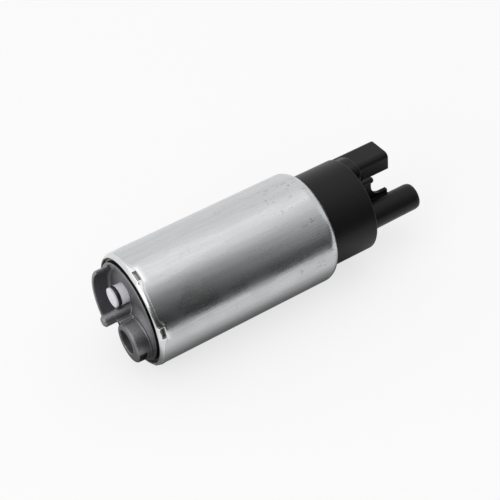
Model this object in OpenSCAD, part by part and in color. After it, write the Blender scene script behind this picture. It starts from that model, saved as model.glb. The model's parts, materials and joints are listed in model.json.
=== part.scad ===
// Electric turbine fuel pump that stands in a fuel tank, lying on its side.
// X runs along the shaft from the inlet to the outlet, and +Z is up.
// The origin is on the table below the middle of the pump's length.
// Inside the file, x = 0 is the can's inlet lip, and angles run from +Y towards +Z.

/* [Can] */
// Outer diameter of the steel can
can_d = 38; // [37:0.5:42]
// Length of the can from its inlet lip to its rolled lip
can_len = 67.2; // [65:0.2:80]
// Wall of the can
can_wall = 1.5; // [1.2:0.1:1.7]
// Outer radius of the rolled shoulder at the outlet end
roll_r = 3.8; // [3.4:0.1:4.4]
// Outer rounding of the inlet lip
lip_round = 2; // [1.4:0.1:2.4]
// Number of stakes that hold the inlet cover
stake_count = 6; // [3:1:8]
// Width of a stake round the can
stake_w = 3.2; // [2.4:0.2:4]
// Length of a stake along the can
stake_len = 2.4; // [1.8:0.2:3]
// Depth of a stake
stake_depth = 0.8; // [0.4:0.1:1]

/* [Inlet cover] */
// Depth of the cover from the can's lip to its pump face
cover_t = 7; // [6.6:0.1:9]
// How far the cover's flat rim stands out of the can's lip
rim_proud = 0.3; // [0:0.1:1]
// Radial width of the flat rim
rim_w = 1.3; // [0.8:0.1:1.5]
// Depth of the floor below the can's lip
floor_depth = 1.2; // [0.6:0.1:1.6]
// Diameter of the inlet bore
inlet_d = 8; // [7:0.1:8.4]
// Wall of the inlet boss
boss_wall = 2.6; // [2.2:0.1:2.8]
// Height of the inlet boss over the can's lip
boss_h = 4.9; // [4:0.1:6]
// Depth of the inlet bore behind the can's lip
inlet_depth = 4; // [3:0.1:4.4]
// Distance of the inlet boss from the pump's axis
boss_off = 8.77; // [8.4:0.1:9]
// Diameter of the locating pin
pin_d = 3.8; // [3:0.1:4.2]
// Height of the locating pin over the can's lip
pin_h = 9.1; // [6:0.1:12]
// Distance of the locating pin from the pump's axis
pin_off = 0.6; // [0:0.1:1]
// Diameter of the vent hole beside the boss
vent_d = 1.3; // [0.8:0.1:1.6]
// Diameter of the vent plug
plug_d = 6.6; // [5.6:0.1:6.8]
// Height of the vent plug over the can's lip
plug_h = 3.4; // [2.8:0.1:4]
// Gap between the locating pin and the vent plug
plug_gap = 0.1; // [0.1:0.05:0.6]
// Height of the C-shaped wall over the can's lip
guard_h = 4.5; // [2:0.1:6]
// Thickness of the C-shaped wall
guard_t = 1.3; // [0.8:0.1:1.6]

/* [Pump stage] */
// Thickness of the impeller
impeller_t = 3.4; // [3:0.1:4.5]
// Radial width of the ring round the impeller
ring_w = 4.2; // [3.6:0.1:5]
// Number of vanes round the impeller
vane_count = 30; // [20:1:36]
// Depth of the pump channel in each housing face
channel_depth = 1.5; // [1:0.1:1.8]
// Depth of the casing behind the ring
casing_t = 6; // [5:0.1:7]

/* [Motor] */
// Diameter of the shaft
shaft_d = 4; // [3:0.1:4.2]
// Radial thickness of a magnet
magnet_t = 3.1; // [2.4:0.1:3.6]
// Half of the angle that a magnet spans
magnet_half_angle = 66; // [55:1:70]
// Gap between the magnets and the armature
air_gap = 0.6; // [0.4:0.1:0.9]
// Number of slots in the armature
slot_count = 10; // [8:1:12]
// Diameter of the commutator's face
comm_d = 20.8; // [20.8:0.1:22]

/* [Brush gear] */
// Side of a square brush
brush_w = 5; // [4:0.1:5.2]
// Length of a brush
brush_len = 9; // [7:0.1:10]
// Distance of a brush from the pump's axis
brush_off = 7; // [7:0.1:7.4]
// Travel of a brush back into its tube
brush_travel = 2; // [1:0.1:2.4]

/* [Outlet head] */
// Length of the black collar outside the can
collar_len = 16.2; // [15:0.2:22]
// Gap from the can's outside to the collar's outside
collar_step = 3.08; // [2.9:0.02:3.4]
// Wall of the collar
collar_wall = 2; // [1.6:0.1:2.4]
// Thickness of the head's end wall
end_wall = 2.5; // [2:0.1:3]
// Outer diameter of the outlet tube
tube_d = 9.2; // [8.4:0.1:9.6]
// Bore of the outlet tube
tube_bore = 6.6; // [6:0.1:6.8]
// Length of the outlet tube past the collar
tube_len = 22.6; // [20:0.2:34]
// Distance of the outlet tube from the pump's axis
tube_off = 6.7; // [6.2:0.1:8]
// Length of the connector past the collar
conn_len = 17.6; // [15:0.2:24]
// Height of the connector
conn_h = 6.4; // [6:0.1:6.8]
// Wall of the connector
conn_wall = 0.85; // [0.7:0.05:1]
// Length of the fin beside the outlet tube
fin_len = 14.4; // [13:0.2:16]
// Thickness of the fin
fin_t = 1.4; // [1:0.1:1.8]
// Width of a terminal blade
blade_w = 2.8; // [2:0.1:3]
// Thickness of a terminal blade
blade_t = 0.8; // [0.6:0.05:1]
// Distance between the middles of the two blades
blade_pitch = 4.4; // [4:0.1:5]
// Depth of the blade tips below the connector's mouth
blade_recess = 4.7; // [4.4:0.1:8]

/* [Valves] */
// Travel of the check valve
check_travel = 2; // [1:0.1:2.2]
// Diameter of the check valve's stem
stem_d = 1.8; // [1.4:0.1:2]
// Diameter of the relief valve's ball
ball_d = 3.8; // [3.4:0.1:4.2]
// Travel of the relief valve's ball
relief_travel = 1.2; // [0.6:0.1:1.6]

/* [Fits] */
// Radial gap of a piece that is set into another
slip = 0.05; // [0.02:0.01:0.08]
// Radial gap of a shaft or stem that runs in its bush
run_gap = 0.05; // [0.02:0.01:0.09]
// Gap between flat faces that move past each other
face_gap = 0.1; // [0.05:0.01:0.2]
// Gap between the impeller's rim and its ring
rim_gap = 0.2; // [0.15:0.01:0.4]

/* [Hidden] */
$fn = 64;
over = 1;

// Can
can_r = can_d / 2;
bore_r = can_r - can_wall;
roll_x = can_len - roll_r;
collar_r = can_r - collar_step;
mouth_r = collar_r + 0.15;
fit_r = bore_r - slip;
stake_x = lip_round;
stake_angle = 48;

// Inlet cover
cover_x1 = cover_t;
seal_gap = 0.6;
rim_r = bore_r - seal_gap;
recess_r = rim_r - rim_w;
seal_x0 = 0.9;
seal_x1 = 2;
floor_x = floor_depth;
line_angle = 48;
boss_angle = 224.5;
boss_r = inlet_d / 2 + boss_wall;
boss_flare = 0.4;
boss_edge = 0.6;
bore_shift = 0.9;
boss_pad_r = boss_r + 1.5;
boss_pad_slope = 2.5;
mouth_chamfer = 0.5;
vent_off = 2.5;
vent_angle = 191.5;
lug_r = 1.4;
lug_h = boss_h;
pin_chamfer = 0.6;
pin_seat = 3.4;
pin_draft = 0.2;
plug_angle = 52;
plug_r = plug_d / 2;
plug_off = pin_off + pin_d / 2 + pin_draft + plug_gap + plug_r;
plug_stem_r = plug_r - 1;
plug_depth = 3.2;
plug_head_t = 0.8;
o_ring_r = 0.6;
o_ring_proud = 0.1;
groove_w = 2 * o_ring_r + 0.1;
guard_r = recess_r + 0.2;
guard_a0 = -42;
guard_a1 = 48;
notch_angle = 205;
notch_w = 5.2;
notch_depth = boss_wall - 1.1;
notch_lip = 0.6;
notch_len = 2.5;
notch_x0 = -boss_h + notch_lip;
notch_x1 = notch_x0 + notch_len;

// Pump stage
ring_in_r = fit_r - ring_w;
impeller_r = ring_in_r - rim_gap;
impeller_x0 = cover_x1 + face_gap;
impeller_x1 = impeller_x0 + impeller_t;
ring_x1 = impeller_x1 + face_gap;
casing_x1 = ring_x1 + casing_t;
channel_r0 = impeller_r - 2.6;
port_r = 1.5;
port_rim = 0.4;
shaft_r = shaft_d / 2;
flat_off = shaft_r - 0.45;
bush_r = shaft_r + 1.6;
bush_x0 = ring_x1 + 1.2;
hub_x1 = casing_x1 + 1.4;
pad_r = shaft_r + 0.4;
pad_t = 0.8;
pad_depth = 3.6;
pad_x0 = cover_x1 - pad_depth;
vane_t = 0.9;
web_t = 1;

// Outlet head, which sets where the brushes and the motor lie
head_x1 = can_len + collar_len;
wall_x0 = head_x1 - end_wall;
skirt_len = 11.2;
flange_x0 = can_len - skirt_len;
cavity_r = collar_r - collar_wall;
tube_x1 = head_x1 + tube_len;
tube_angle = 222.6;
tube_r = tube_d / 2;
tube_y = tube_off * cos(tube_angle);
tube_z = tube_off * sin(tube_angle);
tip_len = 0.8;
tip_step = 0.4;
tube_seat = 5;
tube_seat_x0 = tube_x1 - tip_len - tube_seat;
tube_draft = 0.2;
nozzle_len = 6;
conn_x1 = head_x1 + conn_len;
conn_y0 = 1.5;
conn_drop = 10.62;
conn_z0 = collar_r - conn_drop;
conn_edge_r = collar_r - 0.32;
conn_side_h = 2.34;
conn_y1 = sqrt(pow(conn_edge_r, 2) - pow(conn_z0 + conn_side_h, 2));
conn_w = conn_y1 - conn_y0;
conn_round = 1.9;
conn_low_round = 0.4;
conn_least_round = 0.2;
conn_floor = 1;
plinth_len = 4.3;
plinth_r = collar_r - 0.85;
plinth_y0 = -1.4;
plinth_drop = 0.4;
plinth_z0 = conn_z0 - plinth_drop;
plinth_round = 2.4;
plinth_h = 9.2;
fin_off = 3.6;
fin_y = tube_y + fin_off;
fin_z0 = tube_z + 1;
fin_low = 0.8;
fin_hollow_r = 3.8;
fin_top = fin_low + fin_hollow_r;
fin_tip = 3;
post_r = 1.1;
post_y = -3.8;
post_z = 9.45;
post_len = 7.2;
edge_break = 0.4;

// Motor
comm_x1 = flange_x0 + 0.4;
comm_t = 3;
comm_x0 = comm_x1 - comm_t;
comm_hub_t = 2.4;
comm_r = comm_d / 2;
comm_hole_r = shaft_r + 1.6;
magnet_in_r = fit_r - magnet_t;
core_r = magnet_in_r - air_gap;
end_turn = 3.4;
insulator_t = 0.5;
core_x0 = hub_x1 + 0.6 + end_turn + insulator_t + slip;
core_x1 = comm_x0 - comm_hub_t - 0.5 - end_turn - insulator_t - slip;
magnet_over = 3;
magnet_x0 = core_x0 - magnet_over;
magnet_x1 = core_x1 + magnet_over;
slot_floor = 3.6;
slot_r0 = shaft_r + slot_floor;
slot_r1 = core_r - 1.5;
tooth_w = 2.2;
slot_mouth = 1.4;
wire_gap = 0.15;
clip_t = 0.8;
clip_half_angle = 90 - magnet_half_angle - 1.5;

// Brush gear
brush_x0 = comm_x1 + face_gap;
brush_x1 = brush_x0 + brush_len;
holder_x0 = comm_x1 + 1.6;
holder_x1 = holder_x0 + 2.5;
holder_r = cavity_r - slip;
brush_tube_t = 0.9;
brush_hole_w = brush_w + 2 * face_gap;
brush_tube_w = brush_hole_w + 2 * brush_tube_t;
strip_air = 0.5;
foot_x0 = wall_x0 - 2 * (blade_t + strip_air);
cap_t = 1;
brush_tube_x1 = foot_x0 - 0.8 - cap_t;
spring_wire_r = 0.25;
spring_turns = 7;
brush_spring_r = brush_w / 2 - 0.6;
rear_bush_x0 = holder_x0 + 0.4;
rear_hub_h = 3.6;
rear_bush_x1 = holder_x1 + rear_hub_h;
rear_hub_r = bush_r + 0.7;
shaft_x0 = pad_x0 + pad_t + face_gap;
shaft_x1 = rear_bush_x1 - 0.6;
choke_y = 3.4;
choke_r = 2.9;
choke_z = brush_tube_w / 2 + choke_r + 1.9;
choke_core_r = 1.5;
choke_stand = 2.5;
choke_x0 = holder_x1 + choke_stand;
choke_x1 = brush_tube_x1 - choke_stand;
pigtail_r = 0.45;
pigtail_x = holder_x1 + 1.5;
lead_r = 0.4;
blade_x1 = conn_x1 - blade_recess;
blade_z = conn_z0 + conn_h / 2;
blade_reach_r = cavity_r - 0.15;
blade_yb = sqrt(pow(blade_reach_r, 2) - pow(blade_z + blade_w / 2, 2)) - blade_t / 2;
blade_ya = blade_yb - blade_pitch;
strip_z = blade_z - blade_w / 2 - 1.5;

// Head seal
head_groove_off = 4.2;
head_groove_x = flange_x0 + head_groove_off;
head_seal_r = 0.6;
head_groove_w = 2 * head_seal_r + 0.2;

// Check valve
valve_x0 = wall_x0;
valve_seat_t = 2;
valve_bore_r = tube_bore / 2;
poppet_x0 = valve_x0 + valve_seat_t + slip;
poppet_t = 1.2;
poppet_r = valve_bore_r - 0.5;
check_spring_len = check_travel + 3;
guide_x0 = poppet_x0 + poppet_t + check_spring_len + 2 * slip;
guide_t = 2;
stem_x1 = guide_x0 + guide_t + 0.5;
check_wire_r = 0.2;

// Relief valve
relief_y = 3.5;
relief_z = -8.5;
ball_r = ball_d / 2;
relief_bore_r = ball_r + 0.5;
relief_plug_t = 2;
relief_plug_x0 = head_x1 - relief_plug_t;
relief_spring_len = relief_travel + 3.3;
ball_x = relief_plug_x0 - relief_spring_len - 2 * slip - ball_r;
relief_seat_t = 1.5;
relief_hole_r = ball_r - 0.7;
relief_x0 = ball_x - sqrt(pow(ball_r, 2) - pow(relief_hole_r, 2)) - slip - relief_seat_t;
relief_wire_r = 0.2;

// The pump lies on its can, with the origin below the middle of its length
x_mid = (tube_x1 - pin_h) / 2;

module place() {
    translate([-x_mid, 0, can_r]) children();
}

// Moves what follows to a distance from the axis at an angle
module at(off, angle) {
    translate([0, off * cos(angle), off * sin(angle)]) children();
}

// Cylinder along X
module rod(x0, x1, r) {
    translate([x0, 0, 0]) rotate([0, 90, 0]) cylinder(h = x1 - x0, r = r);
}

// Cone along X
module cone(x0, x1, r0, r1) {
    translate([x0, 0, 0]) rotate([0, 90, 0]) cylinder(h = x1 - x0, r1 = r0, r2 = r1);
}

// Ring along X
module ring(x0, x1, r_out, r_in) {
    difference() {
        rod(x0, x1, r_out);
        rod(x0 - over, x1 + over, r_in);
    }
}

// Turns an outline of (radius, x) points about the X axis
module turned() {
    rotate([0, 90, 0]) rotate_extrude() children();
}

// Extrudes an outline of (y, z) points along X
module section(x0, x1) {
    translate([x0, 0, 0]) rotate([90, 0, 90]) linear_extrude(x1 - x0) children();
}

// Box between two corners
module block(low, high) {
    translate(low) cube(high - low);
}

// Pie slice between two angles, wide enough to cover the can
module slice(a0, a1) {
    reach = 3 * can_r;
    steps = 4;
    polygon(concat([[0, 0]], [for (i = [0:steps])
        let (a = a0 + (a1 - a0) * i / steps) [reach * cos(a), reach * sin(a)]]));
}

// Rectangle from the origin whose lower and upper corners are true arcs
module round_rect(w, h, low_r, high_r) {
    translate([low_r, 0]) square([w - 2 * low_r, low_r]);
    translate([0, low_r]) square([w, h - low_r - high_r]);
    translate([high_r, h - high_r]) square([w - 2 * high_r, high_r]);
    for (x = [low_r, w - low_r]) translate([x, low_r]) circle(low_r);
    for (x = [high_r, w - high_r]) translate([x, h - high_r]) circle(high_r);
}

// Half outline of the can's body, with its rolled shoulder
module rolled_outline(x0, r, roll) {
    translate([0, x0]) square([r, roll_x - x0]);
    translate([0, x0]) square([r - roll, roll_x - x0 + roll]);
    translate([r - roll, roll_x]) circle(roll);
}

// Ring of round section about the X axis
module o_ring(x, ring_r, wire_r) {
    translate([x, 0, 0]) rotate([0, 90, 0]) rotate_extrude() translate([ring_r, 0]) circle(wire_r);
}

// Shaft section with its drive flat
module flatted(x0, x1, gap) {
    intersection() {
        rod(x0, x1, shaft_r + gap);
        block([x0 - over, -can_r, -can_r], [x1 + over, flat_off + gap, can_r]);
    }
}

// Round wire between two points, with ball ends
module wire(a, b, r) {
    v = b - a;
    len = norm(v);
    translate(a) rotate([0, acos(v[2] / len), atan2(v[1], v[0])]) cylinder(h = len, r = r);
    translate(a) sphere(r);
    translate(b) sphere(r);
}

// Coil spring along X between two planes, as one closed tube
module coil_spring(x0, x1, coil_r, wire_r, turns) {
    per_turn = 8;
    sides = 6;
    steps = turns * per_turn;
    run = x1 - x0 - 2 * wire_r;
    points = [for (i = [0:steps]) for (k = [0:sides - 1])
        let (a = 360 * i / per_turn, b = 360 * k / sides, r = coil_r + wire_r * cos(b))
        [x0 + wire_r + run * i / steps + wire_r * sin(b), r * cos(a), r * sin(a)]];
    skin = [for (i = [0:steps - 1]) for (k = [0:sides - 1]) for (half = [0, 1])
        let (p = i * sides + k, q = i * sides + (k + 1) % sides)
        half == 0 ? [p, p + sides, q] : [q, p + sides, q + sides]];
    first = [for (k = [1:sides - 2]) [0, k, k + 1]];
    last = [for (k = [1:sides - 2]) [steps * sides, steps * sides + k + 1, steps * sides + k]];
    polyhedron(points, concat(skin, first, last));
}

module outer_can() {
    color([0.72, 0.73, 0.74]) place() difference() {
        turned() difference() {
            union() {
                rolled_outline(lip_round, can_r, roll_r);
                square([can_r - lip_round, lip_round + over]);
                translate([can_r - lip_round, lip_round]) circle(lip_round);
            }
            translate([0, -over]) square([bore_r, 2 * over]);
            rolled_outline(0, bore_r, roll_r - can_wall);
            square([mouth_r, can_len + over]);
        }
        for (i = [0:stake_count - 1]) rotate([stake_angle + i * 360 / stake_count, 0, 0])
            block([stake_x - stake_len / 2, can_r - stake_depth, -stake_w / 2],
                [stake_x + stake_len / 2, can_r + over, stake_w / 2]);
    }
}

// C-shaped pump channel, open except at the stripper between its ports
module channel(x0, x1) {
    intersection() {
        ring(x0, x1, impeller_r, channel_r0);
        section(x0 - over, x1 + over) slice(boss_angle - 8, boss_angle + 152);
    }
    intersection() {
        ring(x0, x1, impeller_r, channel_r0);
        section(x0 - over, x1 + over) slice(boss_angle + 150, boss_angle + 310);
    }
}

module cover_body() {
    turned() polygon([[0, cover_x1], [fit_r, cover_x1], [fit_r, seal_x1], [rim_r, seal_x1],
        [rim_r, -rim_proud], [recess_r, -rim_proud], [recess_r, floor_x], [0, floor_x]]);
    intersection() {
        ring(-guard_h, floor_x + over, guard_r, guard_r - guard_t);
        section(-guard_h - over, floor_x + 2 * over) slice(guard_a0, guard_a1);
    }
    intersection() {
        at(boss_off, boss_angle) cone(-rim_proud, floor_x + slip, boss_pad_r, boss_pad_r + boss_pad_slope);
        rod(-rim_proud - over, floor_x + over, recess_r + slip);
    }
    at(boss_off, boss_angle) {
        cone(-boss_h, -boss_h + boss_edge, boss_r - boss_edge, boss_r);
        cone(-boss_h + boss_edge, floor_x + over, boss_r, boss_r + boss_flare);
    }
    at(vent_off, vent_angle) rod(-lug_h, floor_x + over, lug_r);
    at(pin_off, line_angle) {
        cone(-pin_h, -pin_h + pin_chamfer, pin_d / 2 - pin_chamfer, pin_d / 2);
        rod(-pin_h + pin_chamfer, -pin_h + pin_chamfer + pin_seat, pin_d / 2);
        cone(-pin_h + pin_chamfer + pin_seat, floor_x + over, pin_d / 2, pin_d / 2 + pin_draft);
    }
}

module inlet_cover() {
    color([0.42, 0.42, 0.43]) place() difference() {
        cover_body();
        at(boss_off, boss_angle) {
            translate([0, bore_shift, 0]) {
                rod(-boss_h - over, inlet_depth, inlet_d / 2);
                cone(-boss_h - slip, -boss_h + mouth_chamfer, inlet_d / 2 + mouth_chamfer + slip, inlet_d / 2);
            }
            rotate([notch_angle, 0, 0])
                block([notch_x0, boss_r - notch_depth, -notch_w / 2],
                    [notch_x1, boss_r + over, notch_w / 2]);
        }
        at(impeller_r - port_r - port_rim, boss_angle)
            rod(inlet_depth - slip, cover_x1 + over, port_r);
        at(vent_off, vent_angle) rod(-lug_h - over, floor_x, vent_d / 2);
        at(plug_off, plug_angle) rod(floor_x - over, floor_x + plug_depth + slip, plug_stem_r + slip);
        channel(cover_x1 - channel_depth, cover_x1 + over);
        rod(pad_x0, cover_x1 + over, pad_r + slip);
    }
}

module cover_seal() {
    color([0.05, 0.05, 0.05]) place() ring(seal_x0, seal_x1, fit_r, rim_r + slip);
}

module vent_plug() {
    groove_x0 = -plug_h + plug_head_t;
    color([0.9, 0.9, 0.88]) place() at(plug_off, plug_angle) difference() {
        union() {
            rod(-plug_h, floor_x, plug_r);
            rod(floor_x - over, floor_x + plug_depth, plug_stem_r);
        }
        ring(groove_x0, groove_x0 + groove_w, plug_r + over, plug_r + o_ring_proud - 2 * o_ring_r - slip);
    }
}

module plug_o_ring() {
    color([0.04, 0.04, 0.04]) place() at(plug_off, plug_angle)
        o_ring(-plug_h + plug_head_t + groove_w / 2, plug_r + o_ring_proud - o_ring_r, o_ring_r);
}

module thrust_pad() {
    color([0.8, 0.78, 0.7]) place() rod(pad_x0, pad_x0 + pad_t, pad_r);
}

module impeller() {
    pocket_depth = (impeller_t - web_t) / 2;
    pocket_w = 2 * PI * (impeller_r - 1) / vane_count - vane_t;
    color([0.45, 0.3, 0.15]) place() difference() {
        rod(impeller_x0, impeller_x1, impeller_r);
        flatted(impeller_x0 - over, impeller_x1 + over, slip);
        for (i = [0:vane_count - 1]) rotate([i * 360 / vane_count, 0, 0]) {
            block([impeller_x0 - over, channel_r0 + 0.4, -pocket_w / 2],
                [impeller_x0 + pocket_depth, impeller_r + over, pocket_w / 2]);
            block([impeller_x1 - pocket_depth, channel_r0 + 0.4, -pocket_w / 2],
                [impeller_x1 + over, impeller_r + over, pocket_w / 2]);
        }
    }
}

module spacer_ring() {
    color([0.6, 0.6, 0.62]) place() ring(cover_x1, ring_x1, fit_r, ring_in_r);
}

module pump_casing() {
    color([0.55, 0.55, 0.57]) place() difference() {
        union() {
            rod(ring_x1, casing_x1 - 2, fit_r);
            ring(casing_x1 - 2 - slip, casing_x1, fit_r, fit_r - 2.5);
            rod(ring_x1, hub_x1, bush_r + 2);
        }
        rod(bush_x0, hub_x1 + over, bush_r);
        rod(ring_x1 - over, bush_x0 + over, shaft_r + 0.3);
        channel(ring_x1 - over, ring_x1 + channel_depth);
        at(impeller_r - port_r - port_rim, boss_angle + 300) rod(ring_x1, casing_x1 + over, port_r);
    }
}

module front_bush() {
    color([0.62, 0.45, 0.25]) place() ring(bush_x0, hub_x1, bush_r - slip, shaft_r + run_gap);
}

module shaft() {
    chamfer = 0.3;
    color([0.75, 0.75, 0.77]) place() difference() {
        union() {
            cone(shaft_x0, shaft_x0 + chamfer, shaft_r - chamfer, shaft_r);
            rod(shaft_x0 + chamfer, shaft_x1 - chamfer, shaft_r);
            cone(shaft_x1 - chamfer, shaft_x1, shaft_r, shaft_r - chamfer);
        }
        block([shaft_x0 - over, flat_off, -shaft_r - over], [impeller_x1, shaft_r + over, shaft_r + over]);
    }
}

// Outline of one armature slot about +Y, drawn in by a gap on all sides
module slot_outline(gap) {
    w0 = 2 * slot_r0 * tan(180 / slot_count) - tooth_w - 2 * gap;
    w1 = 2 * slot_r1 * tan(180 / slot_count) - tooth_w - 2 * gap;
    polygon([[slot_r0 + gap, -w0 / 2], [slot_r1 - gap, -w1 / 2],
        [slot_r1 - gap, w1 / 2], [slot_r0 + gap, w0 / 2]]);
}

module armature_core() {
    color([0.35, 0.35, 0.37]) place() section(core_x0, core_x1) difference() {
        circle(core_r);
        circle(shaft_r + slip / 2);
        for (i = [0:slot_count - 1]) rotate(i * 360 / slot_count) {
            slot_outline(0);
            translate([slot_r1 - over, -slot_mouth / 2]) square([core_r - slot_r1 + 2 * over, slot_mouth]);
        }
    }
}

// Half outline of the coils' end turns
module end_turn_outline(x0) {
    translate([slot_r0 + 0.2, x0]) round_rect(slot_r1 - slot_r0 - 0.4, end_turn, 1.2, 1.2);
}

module armature_windings() {
    front_x = core_x0 - insulator_t - slip - end_turn;
    rear_x = core_x1 + insulator_t + slip;
    color([0.6, 0.28, 0.12]) place() {
        turned() end_turn_outline(front_x);
        turned() end_turn_outline(rear_x);
        section(front_x + end_turn / 2, rear_x + end_turn / 2)
            for (i = [0:slot_count - 1]) rotate(i * 360 / slot_count) slot_outline(wire_gap);
    }
}

module core_insulators() {
    color([0.75, 0.68, 0.45]) place()
        for (x = [core_x0 - insulator_t, core_x1]) section(x, x + insulator_t) difference() {
            circle(core_r - 0.6);
            circle(shaft_r + slip);
            for (i = [0:slot_count - 1]) rotate(i * 360 / slot_count) {
                slot_outline(0);
                translate([slot_r1 - over, -slot_mouth / 2]) square([core_r - slot_r1 + over, slot_mouth]);
            }
        }
}

module commutator_hub() {
    color([0.25, 0.2, 0.16]) place() {
        ring(comm_x0 - comm_hub_t, comm_x0, comm_r + 0.3, shaft_r + slip / 2);
        ring(comm_x0 - slip, comm_x1 - 0.6, comm_hole_r - slip, shaft_r + slip / 2);
    }
}

module commutator_segments() {
    cut_w = 0.5;
    color([0.15, 0.15, 0.16]) place() section(comm_x0, comm_x1) difference() {
        circle(comm_r);
        circle(comm_hole_r);
        for (i = [0:slot_count - 1]) rotate((i + 0.5) * 360 / slot_count)
            translate([0, -cut_w / 2]) square([comm_r + over, cut_w]);
    }
}

module magnet(angle) {
    color([0.2, 0.2, 0.21]) place() section(magnet_x0, magnet_x1) intersection() {
        difference() {
            circle(fit_r);
            circle(magnet_in_r);
        }
        slice(angle - magnet_half_angle, angle + magnet_half_angle);
    }
}

module magnet_a() {
    magnet(0);
}

module magnet_b() {
    magnet(180);
}

module magnet_clips() {
    wall_angle = clip_t / fit_r * 180 / PI;
    color([0.65, 0.66, 0.68]) place() for (angle = [90, 270])
        section(magnet_x0 + 2, magnet_x1 - 2) difference() {
            intersection() {
                difference() {
                    circle(fit_r);
                    circle(magnet_in_r + 0.3);
                }
                slice(angle - clip_half_angle, angle + clip_half_angle);
            }
            intersection() {
                difference() {
                    circle(can_r);
                    circle(magnet_in_r + 0.3 + clip_t);
                }
                slice(angle - clip_half_angle + wall_angle, angle + clip_half_angle - wall_angle);
            }
        }
}

module brush(side) {
    color([0.13, 0.13, 0.14]) place() translate([0, side * brush_off, 0])
        block([brush_x0, -brush_w / 2, -brush_w / 2], [brush_x1, brush_w / 2, brush_w / 2]);
}

module brush_a() {
    brush(1);
}

module brush_b() {
    brush(-1);
}

module brush_spring(side) {
    color([0.7, 0.7, 0.72]) place() translate([0, side * brush_off, 0])
        coil_spring(brush_x1 + slip, brush_tube_x1 - slip, brush_spring_r, spring_wire_r, spring_turns);
}

module brush_spring_a() {
    brush_spring(1);
}

module brush_spring_b() {
    brush_spring(-1);
}

module brush_holder() {
    half = brush_tube_w / 2;
    hole = brush_hole_w / 2;
    slot = pigtail_r + 0.2;
    flow_r = 2;
    flow_edge = 1.6;
    color([0.85, 0.8, 0.65]) place() difference() {
        union() {
            rod(holder_x0, holder_x1, holder_r);
            rod(holder_x0, rear_bush_x1, rear_hub_r);
            for (side = [-1, 1]) {
                translate([0, side * brush_off, 0])
                    block([holder_x0, -half, -half], [brush_tube_x1 + cap_t, half, half]);
                translate([0, side * choke_y, choke_z]) rod(holder_x0, holder_x1 + 0.8, choke_core_r + 1);
            }
        }
        rod(rear_bush_x0, rear_bush_x1 + over, bush_r);
        rod(holder_x0 - over, rear_bush_x0 + over, shaft_r + 0.3);
        for (side = [-1, 1]) {
            translate([0, side * brush_off, 0]) {
                block([holder_x0 - over, -hole, -hole], [brush_tube_x1, hole, hole]);
                block([pigtail_x - slot, -slot, 0], [pigtail_x + slot + brush_travel, slot, half + over]);
            }
            translate([0, side * choke_y, choke_z])
                rod(holder_x0 + 1, holder_x1 + over, choke_core_r + slip);
        }
        for (angle = [225, 270, 315])
            at(holder_r - flow_edge - flow_r, angle) rod(holder_x0 - over, holder_x1 + over, flow_r);
    }
}

module rear_bush() {
    color([0.62, 0.45, 0.25]) place() ring(rear_bush_x0, rear_bush_x1, bush_r - slip, shaft_r + run_gap);
}

module pigtail(side) {
    y = side * brush_off;
    top = [pigtail_x, y, choke_z];
    foot = [pigtail_x, y, brush_w / 2 + pigtail_r + slip];
    far = [pigtail_x, side * (choke_y + choke_core_r + pigtail_r + slip), choke_z];
    color([0.75, 0.4, 0.2]) place() {
        wire(foot, top, pigtail_r);
        wire(top, far, pigtail_r);
    }
}

module pigtail_a() {
    pigtail(1);
}

module pigtail_b() {
    pigtail(-1);
}

module choke_coils() {
    color([0.7, 0.35, 0.15]) place() for (side = [-1, 1]) translate([0, side * choke_y, choke_z])
        ring(choke_x0, choke_x1, choke_r, choke_core_r + slip);
}

module choke_cores() {
    color([0.22, 0.22, 0.23]) place() for (side = [-1, 1]) translate([0, side * choke_y, choke_z])
        rod(holder_x0 + 1 + slip, choke_x1 + 1, choke_core_r);
}

// Blade of one terminal, with the strip that leads to its choke
module terminal(blade_y, from_y, strip_x, low_z) {
    half_w = blade_w / 2;
    half_t = blade_t / 2;
    lead_z = choke_z + choke_core_r + (choke_r - choke_core_r) / 2;
    strip_x1 = strip_x + blade_t;
    block([strip_x, blade_y - half_t, blade_z - half_w], [blade_x1, blade_y + half_t, blade_z + half_w]);
    block([strip_x, blade_y - half_t, low_z], [strip_x1, blade_y + half_t, blade_z + half_w]);
    block([strip_x, min(from_y - 1, blade_y - half_t), low_z],
        [strip_x1, max(from_y + 1, blade_y + half_t), low_z + 1]);
    block([strip_x, from_y - 1, low_z], [strip_x1, from_y + 1, lead_z + lead_r]);
    translate([0, from_y, lead_z]) rod(choke_x1 + slip, strip_x + blade_t / 2, lead_r);
}

module terminals() {
    color([0.8, 0.78, 0.7]) place() {
        terminal(blade_ya, choke_y, foot_x0, blade_z - blade_w / 2);
        terminal(blade_yb, -choke_y, foot_x0 + blade_t + strip_air, strip_z);
    }
}

module connector_outline(inset) {
    intersection() {
        circle(conn_edge_r - inset);
        translate([conn_y0 + inset, conn_z0 + inset])
            round_rect(conn_w - 2 * inset, conn_h - 2 * inset,
                max(conn_low_round - inset, conn_least_round), conn_round - inset);
    }
}

module fin() {
    x0 = head_x1 - over;
    x1 = head_x1 + fin_len;
    hollow_x = x1 - fin_tip;
    difference() {
        block([x0, fin_y - fin_t / 2, fin_z0], [x1, fin_y + fin_t / 2, fin_top]);
        block([hollow_x, fin_y - fin_t, fin_low], [x1 + over, fin_y + fin_t, fin_top + over]);
        translate([hollow_x, fin_y - fin_t, fin_low + fin_hollow_r]) rotate([-90, 0, 0])
            cylinder(h = 2 * fin_t, r = fin_hollow_r);
    }
}

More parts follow.
